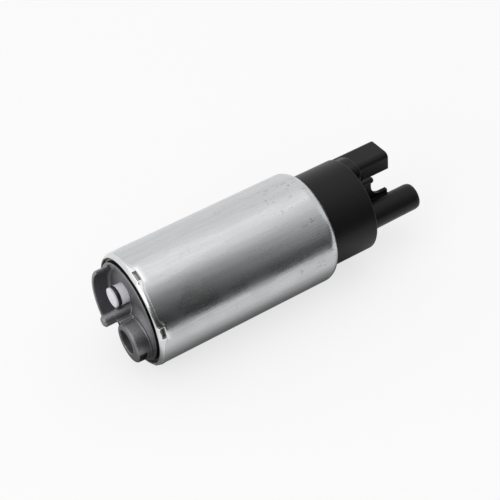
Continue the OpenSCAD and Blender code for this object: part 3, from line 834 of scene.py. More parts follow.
@dataclass
class InletCover:
    """The die-cast cover with its rim, C-shaped wall, boss, pin, plug, O-ring and seal."""

    body_r: float = 17.45
    body_x: float = 2.0
    body_edge: float = 0.15
    rim_r: float = 16.65
    rim_edge: float = 0.28
    recess_r: float = 15.6
    recess_edges: tuple[float, float] = (0.5, 0.25)
    rim_x: float = -0.3
    floor_x: float = 1.2
    back_x: float = 7.0
    guard_r: float = 15.8
    guard_t: float = 1.3
    guard_x: float = -4.5
    guard_angles: tuple[float, float] = (-42.0, 48.0)
    guard_edges: tuple[float, float, float] = (0.45, 0.4, 0.6)
    guard_fillet: float = 1.1
    boss: tuple[float, float] = polar(8.77, 224.5)
    boss_r: float = 6.6
    boss_edge: float = 0.85
    boss_x: float = -4.9
    boss_draft: float = 0.5
    boss_fillet: float = 0.45
    pad_past: float = 1.5
    pad_growth: float = 2.6
    pad_fillet: float = 0.7
    bore_shift: float = 0.9
    bore_r: float = 4.0
    bore_x: float = 4.0
    bore_edge: float = 0.35
    notch_angle: float = 205.0
    notch_half: float = 2.6
    notch_depth: float = 1.5
    notch_x: tuple[float, float] = (-4.3, -1.8)
    pin: tuple[float, float] = polar(0.6, 48.0)
    pin_r: float = 1.9
    pin_x: float = -9.1
    pin_chamfer: float = 0.6
    pin_seat: float = 3.4
    pin_draft: float = 0.2
    pin_fillet: float = 0.5
    lug: tuple[float, float] = polar(2.5, 191.5)
    lug_r: float = 1.1
    lug_fillet: float = 0.3
    vent_r: float = 0.6
    channel_r: tuple[float, float] = (10.45, 13.05)
    channel_depth: float = 1.5
    channel_angles: tuple[float, float, float, float] = (216.5, 376.5, 374.5, 534.5)
    port: tuple[float, float] = polar(11.15, 224.5)
    port_r: float = 1.5
    pad_seat_r: float = 2.45
    pad_seat_depth: float = 3.6
    # Painted shade on the rim by the boss: its middle angle, its spread, its share, and the radii
    # and x over which it rises.
    shade_angle: float = 205.0
    shade_spread: float = 42.0
    shade_share: float = 0.6
    shade_r: tuple[float, float] = (10.5, 14.5)
    shade_x: tuple[float, float] = (-3.6, -2.0)
    plug: tuple[float, float] = polar(6.1, 52.0)
    plug_r: float = 3.3
    plug_x: float = -3.4
    plug_soft: float = 0.22
    stem_inset: float = 0.95
    groove: tuple[float, float] = (-2.6, -1.3)
    groove_depth: float = 1.15
    ring_wire: float = 0.6
    ring_proud: float = 0.1
    seal_x: tuple[float, float] = (0.9, 2.0)
    seal_play: float = 0.05
    seal_soft: float = 0.16
    step: float = 0.19

    def solid(self) -> Solid:
        """The casting with its fillets and rounded edges.

        Returns:
            The whole casting as one solid.
        """
        disc = rod(self.body_x, self.back_x, self.body_r, edge=self.body_edge)
        rim = rod(self.rim_x, self.back_x - 0.5, self.rim_r, edge=self.rim_edge)
        body = disc.join(rim, 0.1)
        floor_edge, top_edge = self.recess_edges
        recess = rod(self.rim_x - 5, self.floor_x, self.recess_r, edge=floor_edge)
        body = body.cut(recess, top_edge).join(self.guard(), self.guard_fillet)
        pad = rod(self.rim_x + 0.1, self.floor_x + 0.1, self.boss_r + self.pad_past, self.boss,
                  growth=self.pad_growth)
        pad = pad.meet(rod(-3, 4, self.recess_r + 0.05))
        body = body.join(pad, self.pad_fillet)
        boss = rod(self.boss_x, self.back_x - 1, self.boss_r, self.boss, self.boss_edge,
                   self.boss_draft)
        body = body.join(boss, self.boss_fillet)
        lug = rod(self.boss_x, self.back_x - 1, self.lug_r, self.lug, edge=0.15)
        body = body.join(lug, self.lug_fillet)
        return self.hollowed(body.join(self.pin_solid(), self.pin_fillet))

    def guard(self) -> Solid:
        """The C-shaped wall.

        Returns:
            The wall, from inside the casting to its rim.
        """
        outer_edge, inner_edge, end_edge = self.guard_edges
        guard = rod(self.guard_x, self.back_x - 2, self.guard_r, edge=outer_edge)
        inside = rod(self.guard_x - 5, self.back_x, self.guard_r - self.guard_t)
        return guard.cut(inside, inner_edge).meet(sector(*self.guard_angles), end_edge)

    def pin_solid(self) -> Solid:
        """The locating pin.

        Returns:
            The pin, with its chamfered tip, its plain seat and its drafted root.
        """
        chamfer = self.pin_chamfer
        tip = rod(self.pin_x, self.pin_x + chamfer, self.pin_r - chamfer, self.pin, growth=chamfer)
        seat = rod(self.pin_x + chamfer, self.pin_x + chamfer + self.pin_seat, self.pin_r, self.pin)
        root = rod(self.pin_x + chamfer + self.pin_seat, self.floor_x + 1, self.pin_r, self.pin,
                   growth=self.pin_draft)
        return tip.join(seat, 0.05).join(root, 0.05)

    def notch(self) -> Solid:
        """What the notch takes out of the boss's side.

        Returns:
            The notch as a solid.
        """
        angle = math.radians(self.notch_angle)
        mid = sum(self.notch_x) / 2
        half_len = (self.notch_x[1] - self.notch_x[0]) / 2
        out = (math.cos(angle), math.sin(angle))

        def near(x: np.ndarray, y: np.ndarray, z: np.ndarray) -> np.ndarray:
            """Distance to the notch's flat sides.

            Args:
                x: x of the points.
                y: their y.
                z: their z.

            Returns:
                The distances.
            """
            deep = (y - self.boss[0]) * out[0] + (z - self.boss[1]) * out[1]
            wide = (z - self.boss[1]) * out[0] - (y - self.boss[0]) * out[1]
            return np.maximum(np.maximum(self.boss_r - self.notch_depth - deep,
                                         np.abs(wide) - self.notch_half),
                              np.abs(x - mid) - half_len)

        return Solid(near)

    def channel(self) -> Solid:
        """The pump channel in the cover's back, round most of the turn.

        Returns:
            The channel as a solid.
        """
        ring = rod(self.back_x - self.channel_depth, self.back_x + 2, self.channel_r[1])
        ring = ring.cut(rod(0, 12, self.channel_r[0]))
        first, last = sector(*self.channel_angles[:2]), sector(*self.channel_angles[2:])
        return ring.meet(first).join(ring.meet(last))

    def hollowed(self, body: Solid) -> Solid:
        """Cuts the bore, the notch, the vent, the plug's seat and the pump channel.

        Args:
            body: the casting before its hollows.

        Returns:
            The casting with them.
        """
        bore = (self.boss[0] + self.bore_shift, self.boss[1])
        body = body.cut(rod(self.boss_x - 3, self.bore_x, self.bore_r, bore), self.bore_edge)
        body = body.cut(self.notch(), 0.2)
        body = body.cut(rod(self.boss_x - 2, self.floor_x, self.vent_r, self.lug), 0.08)
        body = body.cut(rod(self.floor_x - 2, self.floor_x + 3.25, self.plug_r - self.stem_inset,
                            self.plug), 0.1)
        body = body.cut(self.channel(), 0.15)
        body = body.cut(rod(self.bore_x - 0.05, self.back_x + 1, self.port_r, self.port), 0.1)
        return body.cut(rod(self.back_x - self.pad_seat_depth, self.back_x + 1, self.pad_seat_r),
                        0.1)

    def painted_shade_mask(self, points: np.ndarray) -> np.ndarray:
        """Finds where the casting takes painted shade.

        Args:
            points: the cover's points.

        Returns:
            From 0 to 1 how much painted shade each one takes: full in the vent and in the gap
            round the rim, and part on the rim by the boss.
        """
        x, y, z = points.T
        r = np.hypot(y, z)
        # Painted shade inside the vent's hole and in the gap between the rim and the can's lip.
        vent = np.hypot(y - self.lug[0], z - self.lug[1]) < self.vent_r + 0.12
        gap = (r > self.rim_r - 0.08) & (x > self.rim_x + 0.2)
        off = (np.degrees(np.arctan2(z, y)) - self.shade_angle + 180) % 360 - 180
        outer = np.clip((r - self.shade_r[0]) / np.ptp(self.shade_r), 0, 1)
        low = np.clip((x - self.shade_x[0]) / np.ptp(self.shade_x), 0, 1)
        # Painted shade on the outer rim round the angle below the boss.
        rim_shade = self.shade_share * outer * low * bell(off, self.shade_spread)
        return np.maximum(vent | gap, rim_shade)

    def plug_outline(self) -> np.ndarray:
        """Outline of the vent plug.

        Returns:
            Its points, from its face to the end of its stem.
        """
        soft = self.plug_soft
        floor_r = self.plug_r - self.groove_depth
        g0, g1 = self.groove
        return path(
            (self.plug_x - 0.02, 0.4), (self.plug_x, self.plug_r - 0.9),
            arc(self.plug_x + soft, self.plug_r - soft, soft, 180, 90, 6),
            arc(g0 - 0.1, self.plug_r - 0.1, 0.1, 90, 0, 4), (g0, floor_r), (g1, floor_r),
            arc(g1 + 0.1, self.plug_r - 0.1, 0.1, 180, 90, 4),
            (self.floor_x, self.plug_r), (self.floor_x + 0.02, self.plug_r - 1),
            arc(self.floor_x + 2.9, self.plug_r - 1.3, 0.3, 90, 0, 4), (self.floor_x + 3.2, 0.4))

    def build(self, bench: Bench) -> None:
        """Adds the cover, its plug, the plug's O-ring and the seal at the can's lip.

        Args:
            bench: where pieces are made.
        """
        reach = self.body_r + 0.3
        skin = Skin(self.solid(), (self.pin_x - 0.3, -reach, -reach),
                    (self.back_x + 0.3, reach, reach), self.step)
        built = skin.build()
        piece = bench.add("cast_cover", Slot.CAST_ALUMINIUM, built, replaces=("inlet_cover",))
        # The casting's painted shade, which its finish reads.
        bench.mask(piece, "painted_shade", self.painted_shade_mask(built[0]))
        plug = Turned(self.plug_outline(), self.plug, 96, closed=False)
        bench.add("nylon_plug", Slot.WHITE_NYLON, plug.build(), replaces=("vent_plug",))
        wire = self.ring_wire
        ring = arc(sum(self.groove) / 2, self.plug_r + self.ring_proud - wire, wire,
                   360, 0, 25)[:-1]
        bench.add("plug_ring", Slot.SEAL_RUBBER, Turned(ring, self.plug, 96).build(),
                  replaces=("plug_o_ring",))
        x0, x1 = self.seal_x
        soft, inner_r = self.seal_soft, self.rim_r + self.seal_play
        band = path(arc(x0 + soft, inner_r + soft, soft, 270, 180, 5),
                    arc(x0 + soft, self.body_r - soft, soft, 180, 90, 5),
                    (x1, self.body_r), (x1, inner_r))
        bench.add("lip_seal", Slot.SEAL_RUBBER, Turned(band, steps=256).build(),
                  replaces=("cover_seal",))


@dataclass
class OutletHead:
    """The black moulded end with its collar, plinth, connector, outlet tube, fin and post."""

    collar_r: float = 15.92
    collar_x: float = 83.4
    collar_edge: float = 0.4
    wall_x: float = 80.9
    skirt_r: float = 17.45
    skirt_x: float = 56.0
    shoulder: tuple[float, float] = (65.65, 2.25)
    cavity_r: float = 13.92
    groove_x: tuple[float, float] = (59.5, 60.9)
    groove_depth: float = 1.25
    tube: tuple[float, float] = polar(6.7, 222.6)
    tube_r: float = 4.6
    tube_x: float = 106.0
    tube_tip: float = 0.8
    tube_step: float = 0.4
    tube_seat: float = 5.0
    tube_draft: float = 0.2
    tube_edge: float = 0.25
    tube_fillet: float = 0.45
    bore_r: float = 3.3
    mouth_bore_r: float = 2.6
    mouth_depth: tuple[float, float] = (8.0, 6.0)
    conn_low: tuple[float, float] = (1.5, 5.3)
    conn_high: tuple[float, float] = (13.6, 11.7)
    conn_x: float = 101.0
    conn_wall: float = 0.85
    conn_edge_r: float = 15.6
    conn_rounds: tuple[float, float] = (0.4, 1.9)
    conn_edge: float = 0.22
    conn_fillet: float = 0.35
    socket_rounds: tuple[float, float] = (0.2, 1.05)
    plinth_low: tuple[float, float] = (-1.4, 4.9)
    plinth_high: tuple[float, float] = (13.6, 14.1)
    plinth_x: float = 87.7
    plinth_r: float = 15.07
    plinth_rounds: tuple[float, float] = (1.0, 2.4)
    plinth_edge: float = 0.3
    fin_y: float = -1.33
    fin_half: float = 0.7
    fin_x: float = 97.8
    fin_root_z: float = 6.5
    fin_flat_z: float = 0.65
    fin_hollow: tuple[float, float] = (2.55, 4.0)
    fin_fillet: float = 0.3
    post: tuple[float, float] = (-3.8, 9.45)
    post_r: float = 1.1
    post_x: float = 90.6
    post_fillet: float = 0.3
    slit_play: float = 0.05
    relief: tuple[float, float] = (3.5, -8.5)
    relief_x: float = 71.87
    relief_r: tuple[float, float] = (2.4, 3.4)
    step: float = 0.21

    def collar(self) -> Solid:
        """Skirt, shoulder and collar.

        Returns:
            The three as one solid, hollow up to the end wall.
        """
        end, soft = self.shoulder
        skirt = rod(self.skirt_x - 10, end, self.skirt_r, edge=soft)
        skirt = skirt.meet(beyond(self.skirt_x, 1), 0.2)
        edge = self.collar_edge
        body = skirt.join(rod(self.skirt_x + 2, self.collar_x, self.collar_r, edge=edge), 0.1)
        body = body.cut(rod(self.skirt_x - 5, self.wall_x, self.cavity_r, edge=edge), 0.2)
        groove = rod(*self.groove_x, 20.0).cut(rod(50, 70, self.skirt_r - self.groove_depth))
        return body.cut(groove, 0.12)

    def outlet_tube(self) -> Solid:
        """The drafted outlet tube.

        Returns:
            The tube with its lead-in and rounded mouth, not bored yet.
        """
        lead_x = self.tube_x - self.tube_tip
        seat_x = lead_x - self.tube_seat
        root = rod(self.wall_x, seat_x, self.tube_r + self.tube_draft, self.tube,
                   growth=-self.tube_draft)
        bar_end = rod(seat_x - 1, self.tube_x, self.tube_r, self.tube, edge=self.tube_edge)
        slope = self.tube_step / self.tube_tip

        def lead(x: np.ndarray, y: np.ndarray, z: np.ndarray) -> np.ndarray:
            """Distance to the cone of the lead-in."""
            side = np.hypot(y - self.tube[0], z - self.tube[1]) - self.tube_r
            return (side + (x - lead_x) * slope) / math.hypot(1, slope)

        return root.join(bar_end.meet(Solid(lead), 0.4), 0.1)

    def connector(self) -> Solid:
        """The connector's shroud on its plinth.

        Returns:
            The two as one solid, without the socket.
        """
        shroud = bar(self.wall_x, self.conn_x, self.conn_low, self.conn_high, self.conn_rounds,
                     self.conn_edge)
        shroud = shroud.meet(rod(self.wall_x - 5, self.conn_x + 5, self.conn_edge_r), 0.4)
        plinth = bar(self.wall_x, self.plinth_x, self.plinth_low, self.plinth_high,
                     self.plinth_rounds, self.plinth_edge)
        plinth = plinth.meet(rod(self.wall_x - 5, self.plinth_x + 5, self.plinth_r), 0.5)
        return shroud.join(plinth, 0.25)

    def fin(self) -> Solid:
        """The fin beside the outlet tube.

        Returns:
            The fin, which rises in a hollow curve to the post.
        """
        low_z = self.tube[1] + 1
        plate = block((self.wall_x, self.fin_y - self.fin_half, low_z),
                      (self.fin_x, self.fin_y + self.fin_half, self.fin_root_z), 0.2)
        back, curve_r = self.fin_hollow
        hollow_x, hollow_z = self.fin_x - back, self.fin_flat_z + curve_r
        wide, over = 2.0, 2.0
        y0, y1 = self.fin_y - wide, self.fin_y + wide
        hollow = cross_rod(hollow_x, hollow_z, curve_r, y0, y1)
        flat = block((hollow_x, y0, self.fin_flat_z), (self.fin_x + over, y1, hollow_z + over))
        above = block((hollow_x - curve_r, y0, hollow_z),
                      (self.fin_x + over, y1, self.fin_root_z + over))
        return plate.cut(hollow.join(flat).join(above), 0.2)

    def socket(self) -> Solid:
        """The connector's socket.

        Returns:
            What it takes out of the shroud.
        """
        inset = self.conn_wall
        low = (self.conn_low[0] + inset, self.conn_low[1] + inset)
        high = (self.conn_high[0] - inset, self.conn_high[1] - inset)
        socket = bar(self.collar_x + 1, self.conn_x + 5, low, high, self.socket_rounds)
        return socket.meet(rod(self.wall_x, self.conn_x + 6, self.conn_edge_r - inset), 0.2)

    def solid(self) -> Solid:
        """The whole moulding.

        Returns:
            The moulding with its bores, its socket and the slits of the terminals.
        """
        body = self.collar().join(self.connector(), self.conn_fillet)
        body = body.join(self.outlet_tube(), self.tube_fillet).join(self.fin(), self.fin_fillet)
        stem = rod(self.wall_x, self.post_x, self.post_r, self.post, edge=self.post_r - 0.05)
        body = body.join(stem, self.post_fillet)
        inner_r, outer_r = self.relief_r
        body = body.join(rod(self.relief_x, self.wall_x + 0.5, outer_r, self.relief, edge=0.1), 0.1)
        body = body.cut(rod(70, self.collar_x + 2, inner_r, self.relief), 0.15)
        back, wide_back = self.mouth_depth
        body = body.cut(rod(self.wall_x - 2, self.tube_x - wide_back, self.bore_r, self.tube), 0.1)
        body = body.cut(rod(self.tube_x - back, self.tube_x + 2, self.mouth_bore_r, self.tube), 0.3)
        body = body.cut(self.socket(), 0.18)
        pair = BladePair()
        half_t, half_w = pair.half_t + self.slit_play, pair.half_w + self.slit_play
        for y in pair.blades:
            slit = block((self.wall_x - 1, y - half_t, pair.blade_z - half_w),
                         (self.collar_x + 2, y + half_t, pair.blade_z + half_w))
            body = body.cut(slit, 0.08)
        return body

    def build(self, bench: Bench) -> None:
        """Adds the head.

        Args:
            bench: where pieces are made.
        """
        reach = self.skirt_r + 0.3
        skin = Skin(self.solid(), (self.skirt_x - 0.3, -reach, -reach),
                    (self.tube_x + 0.3, reach, reach), self.step)
        bench.add("moulded_head", Slot.BLACK_NYLON, skin.build(), replaces=("outlet_head",))


@dataclass
class BladePair:
    """The two terminals: blades with pointed tips, and the strips behind them."""

    blades: tuple[float, float] = (4.771, 9.171)
    blade_z: float = 8.5
    half_w: float = 1.4
    half_t: float = 0.4
    tip_x: float = 96.3
    foot_x: float = 78.3
    air: float = 0.5
    choke: tuple[float, float] = (3.4, 8.3)
    choke_end: float = 74.0
    lead_z: float = 10.5
    lead_r: float = 0.4
    edge: float = 0.1
    tip_half: tuple[float, float] = (0.16, 0.85)
    tip_slope: tuple[float, float] = (0.3, 0.7)
    tip_scale: tuple[float, float] = (1.04, 1.22)
    step: float = 0.11

    def terminal(self, blade_y: float, from_y: float, strip_x: float, low_z: float) -> Solid:
        """One terminal.

        Args:
            blade_y: middle of its blade.
            from_y: y of the choke that it leads to.
            strip_x: where its strip starts.
            low_z: bottom of its strip.

        Returns:
            The terminal.
        """
        t, w = self.half_t, self.half_w
        top = self.blade_z + w
        x1 = strip_x + 2 * t
        soft = self.edge
        blade = block((strip_x, blade_y - t, self.blade_z - w),
                      (self.tip_x, blade_y + t, top), soft)
        slope_y, slope_z = self.tip_slope
        half_y, half_z = self.tip_half
        scale_y, scale_z = self.tip_scale

        def point(x: np.ndarray, y: np.ndarray, z: np.ndarray) -> np.ndarray:
            """Distance to the four slopes of the blade's tip.

            Args:
                x: x of the points.
                y: their y.
                z: their z.

            Returns:
                The distances.
            """
            flat = np.abs(y - blade_y) + slope_y * (x - self.tip_x)
            broad = np.abs(z - self.blade_z) + slope_z * (x - self.tip_x)
            return np.maximum((flat - half_y) / scale_y, (broad - half_z) / scale_z)

        made = blade.meet(Solid(point), 0.05)
        made = made.join(block((strip_x, blade_y - t, low_z), (x1, blade_y + t, top), soft))
        made = made.join(block((strip_x, min(from_y - 1, blade_y - t), low_z),
                               (x1, max(from_y + 1, blade_y + t), low_z + 1), soft))
        made = made.join(block((strip_x, from_y - 1, low_z),
                               (x1, from_y + 1, self.lead_z + self.lead_r), soft))
        lead = rod(self.choke_end + 0.05, strip_x + t, self.lead_r, (from_y, self.lead_z))
        return made.join(lead, 0.1)

    def build(self, bench: Bench) -> None:
        """Adds both terminals as one piece.

        Args:
            bench: where pieces are made.
        """
        low = self.blade_z - self.half_w
        first = self.terminal(self.blades[0], self.choke[0], self.foot_x, low)
        second = self.terminal(self.blades[1], -self.choke[0],
                               self.foot_x + 2 * self.half_t + self.air, low - 1.5)
        skin = Skin(first.join(second), (self.choke_end - 0.3, -4.8, low - 1.8),
                    (self.tip_x + 0.3, self.blades[1] + 0.8, self.lead_z + 0.8), self.step)
        bench.add("terminal_blades", Slot.TINNED_BRASS, skin.build(), replaces=("terminals",))


@dataclass
class Coil:
    """A compression spring along X with closed ends."""

    node: str
    joint: str
    x0: float
    x1: float
    centre: tuple[float, float]
    radius: float
    wire_r: float
    turns: float
    travel: float
    closed: float = 0.9
    per_turn: int = 28

    def line(self) -> np.ndarray:
        """Middle line of the wire.

        Returns:
            Its points, with the first and last turns lying close.
        """
        closed = self.closed
        turn = np.linspace(0, self.turns, int(self.turns * self.per_turn) + 1)
        run = self.x1 - self.x0 - 2 * self.wire_r
        dead = 2.1 * self.wire_r * closed
        open_turns = self.turns - 2 * closed
        rise = np.interp(turn, [0, closed, closed + open_turns, self.turns],
                         [0, dead, run - dead, run])
        angle = TURN * turn
        return np.stack([self.x0 + self.wire_r + rise,
                         self.centre[0] + self.radius * np.cos(angle),
                         self.centre[1] + self.radius * np.sin(angle)], 1)

    def build(self, bench: Bench) -> None:
        """Adds the spring.

        Args:
            bench: where pieces are made.
        """
        piece = bench.add(self.node + "_wire", Slot.SPRING_STEEL,
                          Tube(self.line(), self.wire_r).build(), replaces=(self.node,))
        anchor = bench.place.metres(np.array([self.x1, *self.centre]))
        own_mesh(piece)


@dataclass
class Pigtail:
    """The braided lead of one brush."""

    side: int
    body: Body
    x: float = 62.0
    brush_y: float = 7.0
    foot_z: float = 3.0
    choke_y: float = 5.4
    choke_z: float = 8.3
    bend: float = 1.0
    strands: int = 5
    strand_r: float = 0.17
    strand_off: float = 0.26
    lay: float = 2.2

    def middle(self) -> np.ndarray:
        """Middle line of the lead.

        Returns:
            Its points, from the brush up and over to its choke.
        """
        bend = self.bend
        y0, y1 = self.brush_y, self.choke_y
        rise = np.linspace(self.foot_z, self.choke_z - bend, 22)
        up = np.stack([np.full_like(rise, y0), rise], 1)
        turn = np.radians(np.linspace(0, 90, 14))
        corner = np.stack([y0 - bend + bend * np.cos(turn), self.choke_z - bend
                           + bend * np.sin(turn)], 1)
        over = np.stack([np.linspace(y0 - bend, y1, 8), np.full(8, self.choke_z)], 1)
        flat = np.concatenate([up[:-1], corner, over[1:]])
        return np.stack([np.full(len(flat), self.x), self.side * flat[:, 0], flat[:, 1]], 1)

    def build(self, bench: Bench) -> None:
        """Adds the lead as a rope of strands round its middle line.

        Args:
            bench: where pieces are made.
        """
        middle = self.middle()
        gaps = np.linalg.norm(np.diff(middle, axis=0), axis=1)
        run = np.concatenate([[0], np.cumsum(gaps)])
        along = np.gradient(middle, axis=0)
        along /= np.linalg.norm(along, axis=1, keepdims=True)
        side = np.tile((1.0, 0.0, 0.0), (len(middle), 1))
        other = np.cross(along, side)
        points, faces = [], []
        for strand in range(self.strands):
            angle = TURN * (strand / self.strands + run / self.lay)
            off = side * np.cos(angle)[:, None] + other * np.sin(angle)[:, None]
            line = middle + self.strand_off * off
            made, skin = Tube(line, self.strand_r, 8).build()
            base = sum(len(p) for p in points)
            points.append(made)
            faces.extend(tuple(i + base for i in f) for f in skin)
        letter = "a" if self.side > 0 else "b"
        piece = bench.add(f"pigtail_{letter}_braid", Slot.BARE_COPPER,
                          (np.concatenate(points), faces), replaces=(f"pigtail_{letter}",))
        # The lead hangs on neither body.
        bpy.context.view_layer.update()
        world = piece.matrix_world.copy()
        piece.parent = None
        piece.matrix_world = world
        del piece["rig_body"]
        start = bench.place.metres(middle[0])
        end = bench.place.metres(middle[-1])
        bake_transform(piece)


# Node wiring


class Wiring:
    """Adds nodes to one node tree and links them."""

    def __init__(self, tree: bpy.types.NodeTree) -> None:
        """Starts on a tree, at its left end."""
        self.tree = tree
        self.column = 0

    def add(self, kind: str, inputs: dict | None = None, **settings: object) -> bpy.types.Node:
        """Adds one node.

        Args:
            kind: its type.
            inputs: values or sockets for its inputs, by name or index.
            settings: its own properties.

        Returns:
            The node.
        """
        node = self.tree.nodes.new(kind)
        node.location = (220 * self.column, 0)
        self.column += 1
        for name, value in settings.items():
            setattr(node, name, value)
        for key, value in (inputs or {}).items():
            if isinstance(value, bpy.types.NodeSocket):
                self.tree.links.new(value, node.inputs[key])
            else:
                node.inputs[key].default_value = value
        return node

    def math(self, operation: str, a: object, b: object = 0.0) -> bpy.types.NodeSocket:
        """One Math node, and its result."""
        return self.add("ShaderNodeMath", {0: a, 1: b}, operation=operation).outputs[0]

    def smooth(self, value: object, low: object, high: object) -> bpy.types.NodeSocket:
        """A smooth rise from 0 at low to 1 at high."""
        node = self.add("ShaderNodeMapRange", {"Value": value, "From Min": low, "From Max": high},
                        interpolation_type="SMOOTHSTEP")
        return node.outputs[0]

    def point_value(self, name: str) -> bpy.types.NodeSocket:
        """The value that a piece keeps under a name for each of its points."""
        return self.add("ShaderNodeAttribute", attribute_name=name,
                        attribute_type="GEOMETRY").outputs["Fac"]

    def between(self, factor: object, low: float, high: float) -> bpy.types.NodeSocket:
        """A value that goes from low to high as the factor goes from 0 to 1."""
        node = self.add("ShaderNodeMapRange", {"Value": factor, "To Min": low, "To Max": high})
        return node.outputs[0]

    def mix(self, factor: object, a: object, b: object) -> bpy.types.NodeSocket:
        """A colour between two colours."""
        node = self.add("ShaderNodeMix", {0: factor, 6: a, 7: b}, data_type="RGBA")
        return node.outputs[2]


class Effects:
    """Builds the shared node groups once, and places them in materials."""

    def __init__(self) -> None:
        """Builds every group."""
        self.groups: dict[Effect, bpy.types.NodeTree] = {}
        self.fine_grain()
        self.drawn_streaks()
        self.wound_turns()
        self.soft_clouds()
        self.edge_wear()
        self.small_specks()
        self.short_scratches()

    def start(self, effect: Effect, inputs: dict[str, float],
              outputs: tuple[str, ...]) -> tuple[Wiring, bpy.types.Node, bpy.types.Node]:
        """Starts a group.

        Args:
            effect: which effect it is.
            inputs: its named inputs and their usual values.
            outputs: its named outputs.

        Returns:
            Its wiring, its input node and its output node.
        """
        tree = bpy.data.node_groups.new(effect.value, "ShaderNodeTree")
        for name, value in inputs.items():
            socket = tree.interface.new_socket(name=name, in_out="INPUT",
                                               socket_type="NodeSocketFloat")
            socket.default_value = value
        for name in outputs:
            tree.interface.new_socket(name=name, in_out="OUTPUT", socket_type="NodeSocketFloat")
        self.groups[effect] = tree
        wiring = Wiring(tree)
        given = wiring.add("NodeGroupInput")
        result = tree.nodes.new("NodeGroupOutput")
        return wiring, given, result

    @staticmethod
    def millimetres(wiring: Wiring) -> bpy.types.NodeSocket:
        """The point on the piece, in millimetres."""
        point = wiring.add("ShaderNodeTexCoord").outputs["Object"]
        return wiring.add("ShaderNodeVectorMath", {0: point, 3: 1 / MM},
                          operation="SCALE").outputs[0]

    def fine_grain(self) -> None:
        """Even grain of a casting, moulding or sinter."""
        wiring, given, result = self.start(Effect.GRAIN, {"Size": 0.5}, ("Mask", "Height"))
        point = self.millimetres(wiring)
        rate = wiring.math("DIVIDE", 1.0, given.outputs["Size"])
        broad = wiring.add("ShaderNodeTexNoise", {"Vector": point, "Scale": rate, "Detail": 3.0,
                                                  "Roughness": 0.6})
        fine_rate = wiring.math("MULTIPLY", rate, 3.1)
        fine = wiring.add("ShaderNodeTexNoise", {"Vector": point, "Scale": fine_rate,
                                                 "Detail": 2.0})
        both = wiring.math("ADD", broad.outputs[0], wiring.math("MULTIPLY", fine.outputs[0], 0.5))
        wiring.tree.links.new(wiring.smooth(broad.outputs[0], 0.32, 0.68), result.inputs["Mask"])
        wiring.tree.links.new(both, result.inputs["Height"])

    def drawn_streaks(self) -> None:
        """Long lines along the pump, as drawing and rolling leave on sheet steel."""
        wiring, given, result = self.start(
            Effect.STREAKS, {"Along": 16.0, "Across": 0.5}, ("Mask", "Height"))
        parts = wiring.add("ShaderNodeSeparateXYZ", {0: self.millimetres(wiring)})
        x = wiring.math("DIVIDE", parts.outputs[0], given.outputs["Along"])
        y = wiring.math("DIVIDE", parts.outputs[1], given.outputs["Across"])
        z = wiring.math("DIVIDE", parts.outputs[2], given.outputs["Across"])
        stretched = wiring.add("ShaderNodeCombineXYZ", {0: x, 1: y, 2: z}).outputs[0]
        lines = wiring.add("ShaderNodeTexNoise", {"Vector": stretched, "Scale": 1.0,
                                                  "Detail": 5.0, "Roughness": 0.65})
        wiring.tree.links.new(wiring.smooth(lines.outputs[0], 0.36, 0.64), result.inputs["Mask"])
        wiring.tree.links.new(lines.outputs[0], result.inputs["Height"])

    def wound_turns(self) -> None:
        """Even rounds one behind the other along the pump, as of wire or laminations."""
        wiring, given, result = self.start(Effect.TURNS, {"Pitch": 0.6, "Wander": 0.5},
                                           ("Mask", "Height"))
        point = self.millimetres(wiring)
        along = wiring.add("ShaderNodeSeparateXYZ", {0: point}).outputs[0]
        wander = wiring.add("ShaderNodeTexNoise", {"Vector": point, "Scale": 0.4, "Detail": 1.0})
        shift = wiring.math("MULTIPLY", wander.outputs[0], given.outputs["Wander"])
        turns = wiring.math("DIVIDE", wiring.math("ADD", along, shift), given.outputs["Pitch"])
        share = wiring.math("FRACT", turns)
        off = wiring.math("ABSOLUTE", wiring.math("SUBTRACT", share, 0.5))
        crest = wiring.smooth(off, 0.5, 0.1)
        wiring.tree.links.new(crest, result.inputs["Mask"])
        wiring.tree.links.new(crest, result.inputs["Height"])

    def soft_clouds(self) -> None:
        """Large soft patches, as of handling and oil film."""
        wiring, given, result = self.start(Effect.CLOUDS, {"Size": 8.0}, ("Mask",))
        rate = wiring.math("DIVIDE", 1.0, given.outputs["Size"])
        clouds = wiring.add("ShaderNodeTexNoise", {
            "Vector": self.millimetres(wiring), "Scale": rate, "Detail": 3.0,
            "Distortion": 0.6})
        wiring.tree.links.new(wiring.smooth(clouds.outputs[0], 0.34, 0.66), result.inputs["Mask"])

    def edge_wear(self) -> None:
        """Lighter outer edges, broken up by a fine noise: rubbed wear on the casting and a painted
        edge highlight on the black moulding.
        """
        wiring, given, result = self.start(Effect.WEAR_AND_HIGHLIGHT, {"Low": 0.52, "High": 0.6, "Size": 0.8},
                                           ("Mask",))
        bend = wiring.add("ShaderNodeNewGeometry").outputs["Pointiness"]
        rubbed = wiring.smooth(bend, given.outputs["Low"], given.outputs["High"])
        rate = wiring.math("DIVIDE", 1.0, given.outputs["Size"])
        noise = wiring.add("ShaderNodeTexNoise", {"Vector": self.millimetres(wiring),
                                                  "Scale": rate, "Detail": 3.0})
        broken = wiring.smooth(noise.outputs[0], 0.25, 0.55)
        wiring.tree.links.new(wiring.math("MULTIPLY", rubbed, broken), result.inputs["Mask"])

    def small_specks(self) -> None:
        """A few small round specks."""
        wiring, given, result = self.start(Effect.SPECKS, {"Size": 2.0, "Share": 0.15}, ("Mask",))
        rate = wiring.math("DIVIDE", 1.0, given.outputs["Size"])
        cells = wiring.add("ShaderNodeTexVoronoi", {"Vector": self.millimetres(wiring),
                                                    "Scale": rate})
        dot = wiring.smooth(cells.outputs["Distance"], 0.13, 0.05)
        chance = wiring.add("ShaderNodeSeparateColor", {0: cells.outputs["Color"]}).outputs[0]
        chosen = wiring.math("LESS_THAN", chance, given.outputs["Share"])
        wiring.tree.links.new(wiring.math("MULTIPLY", dot, chosen), result.inputs["Mask"])

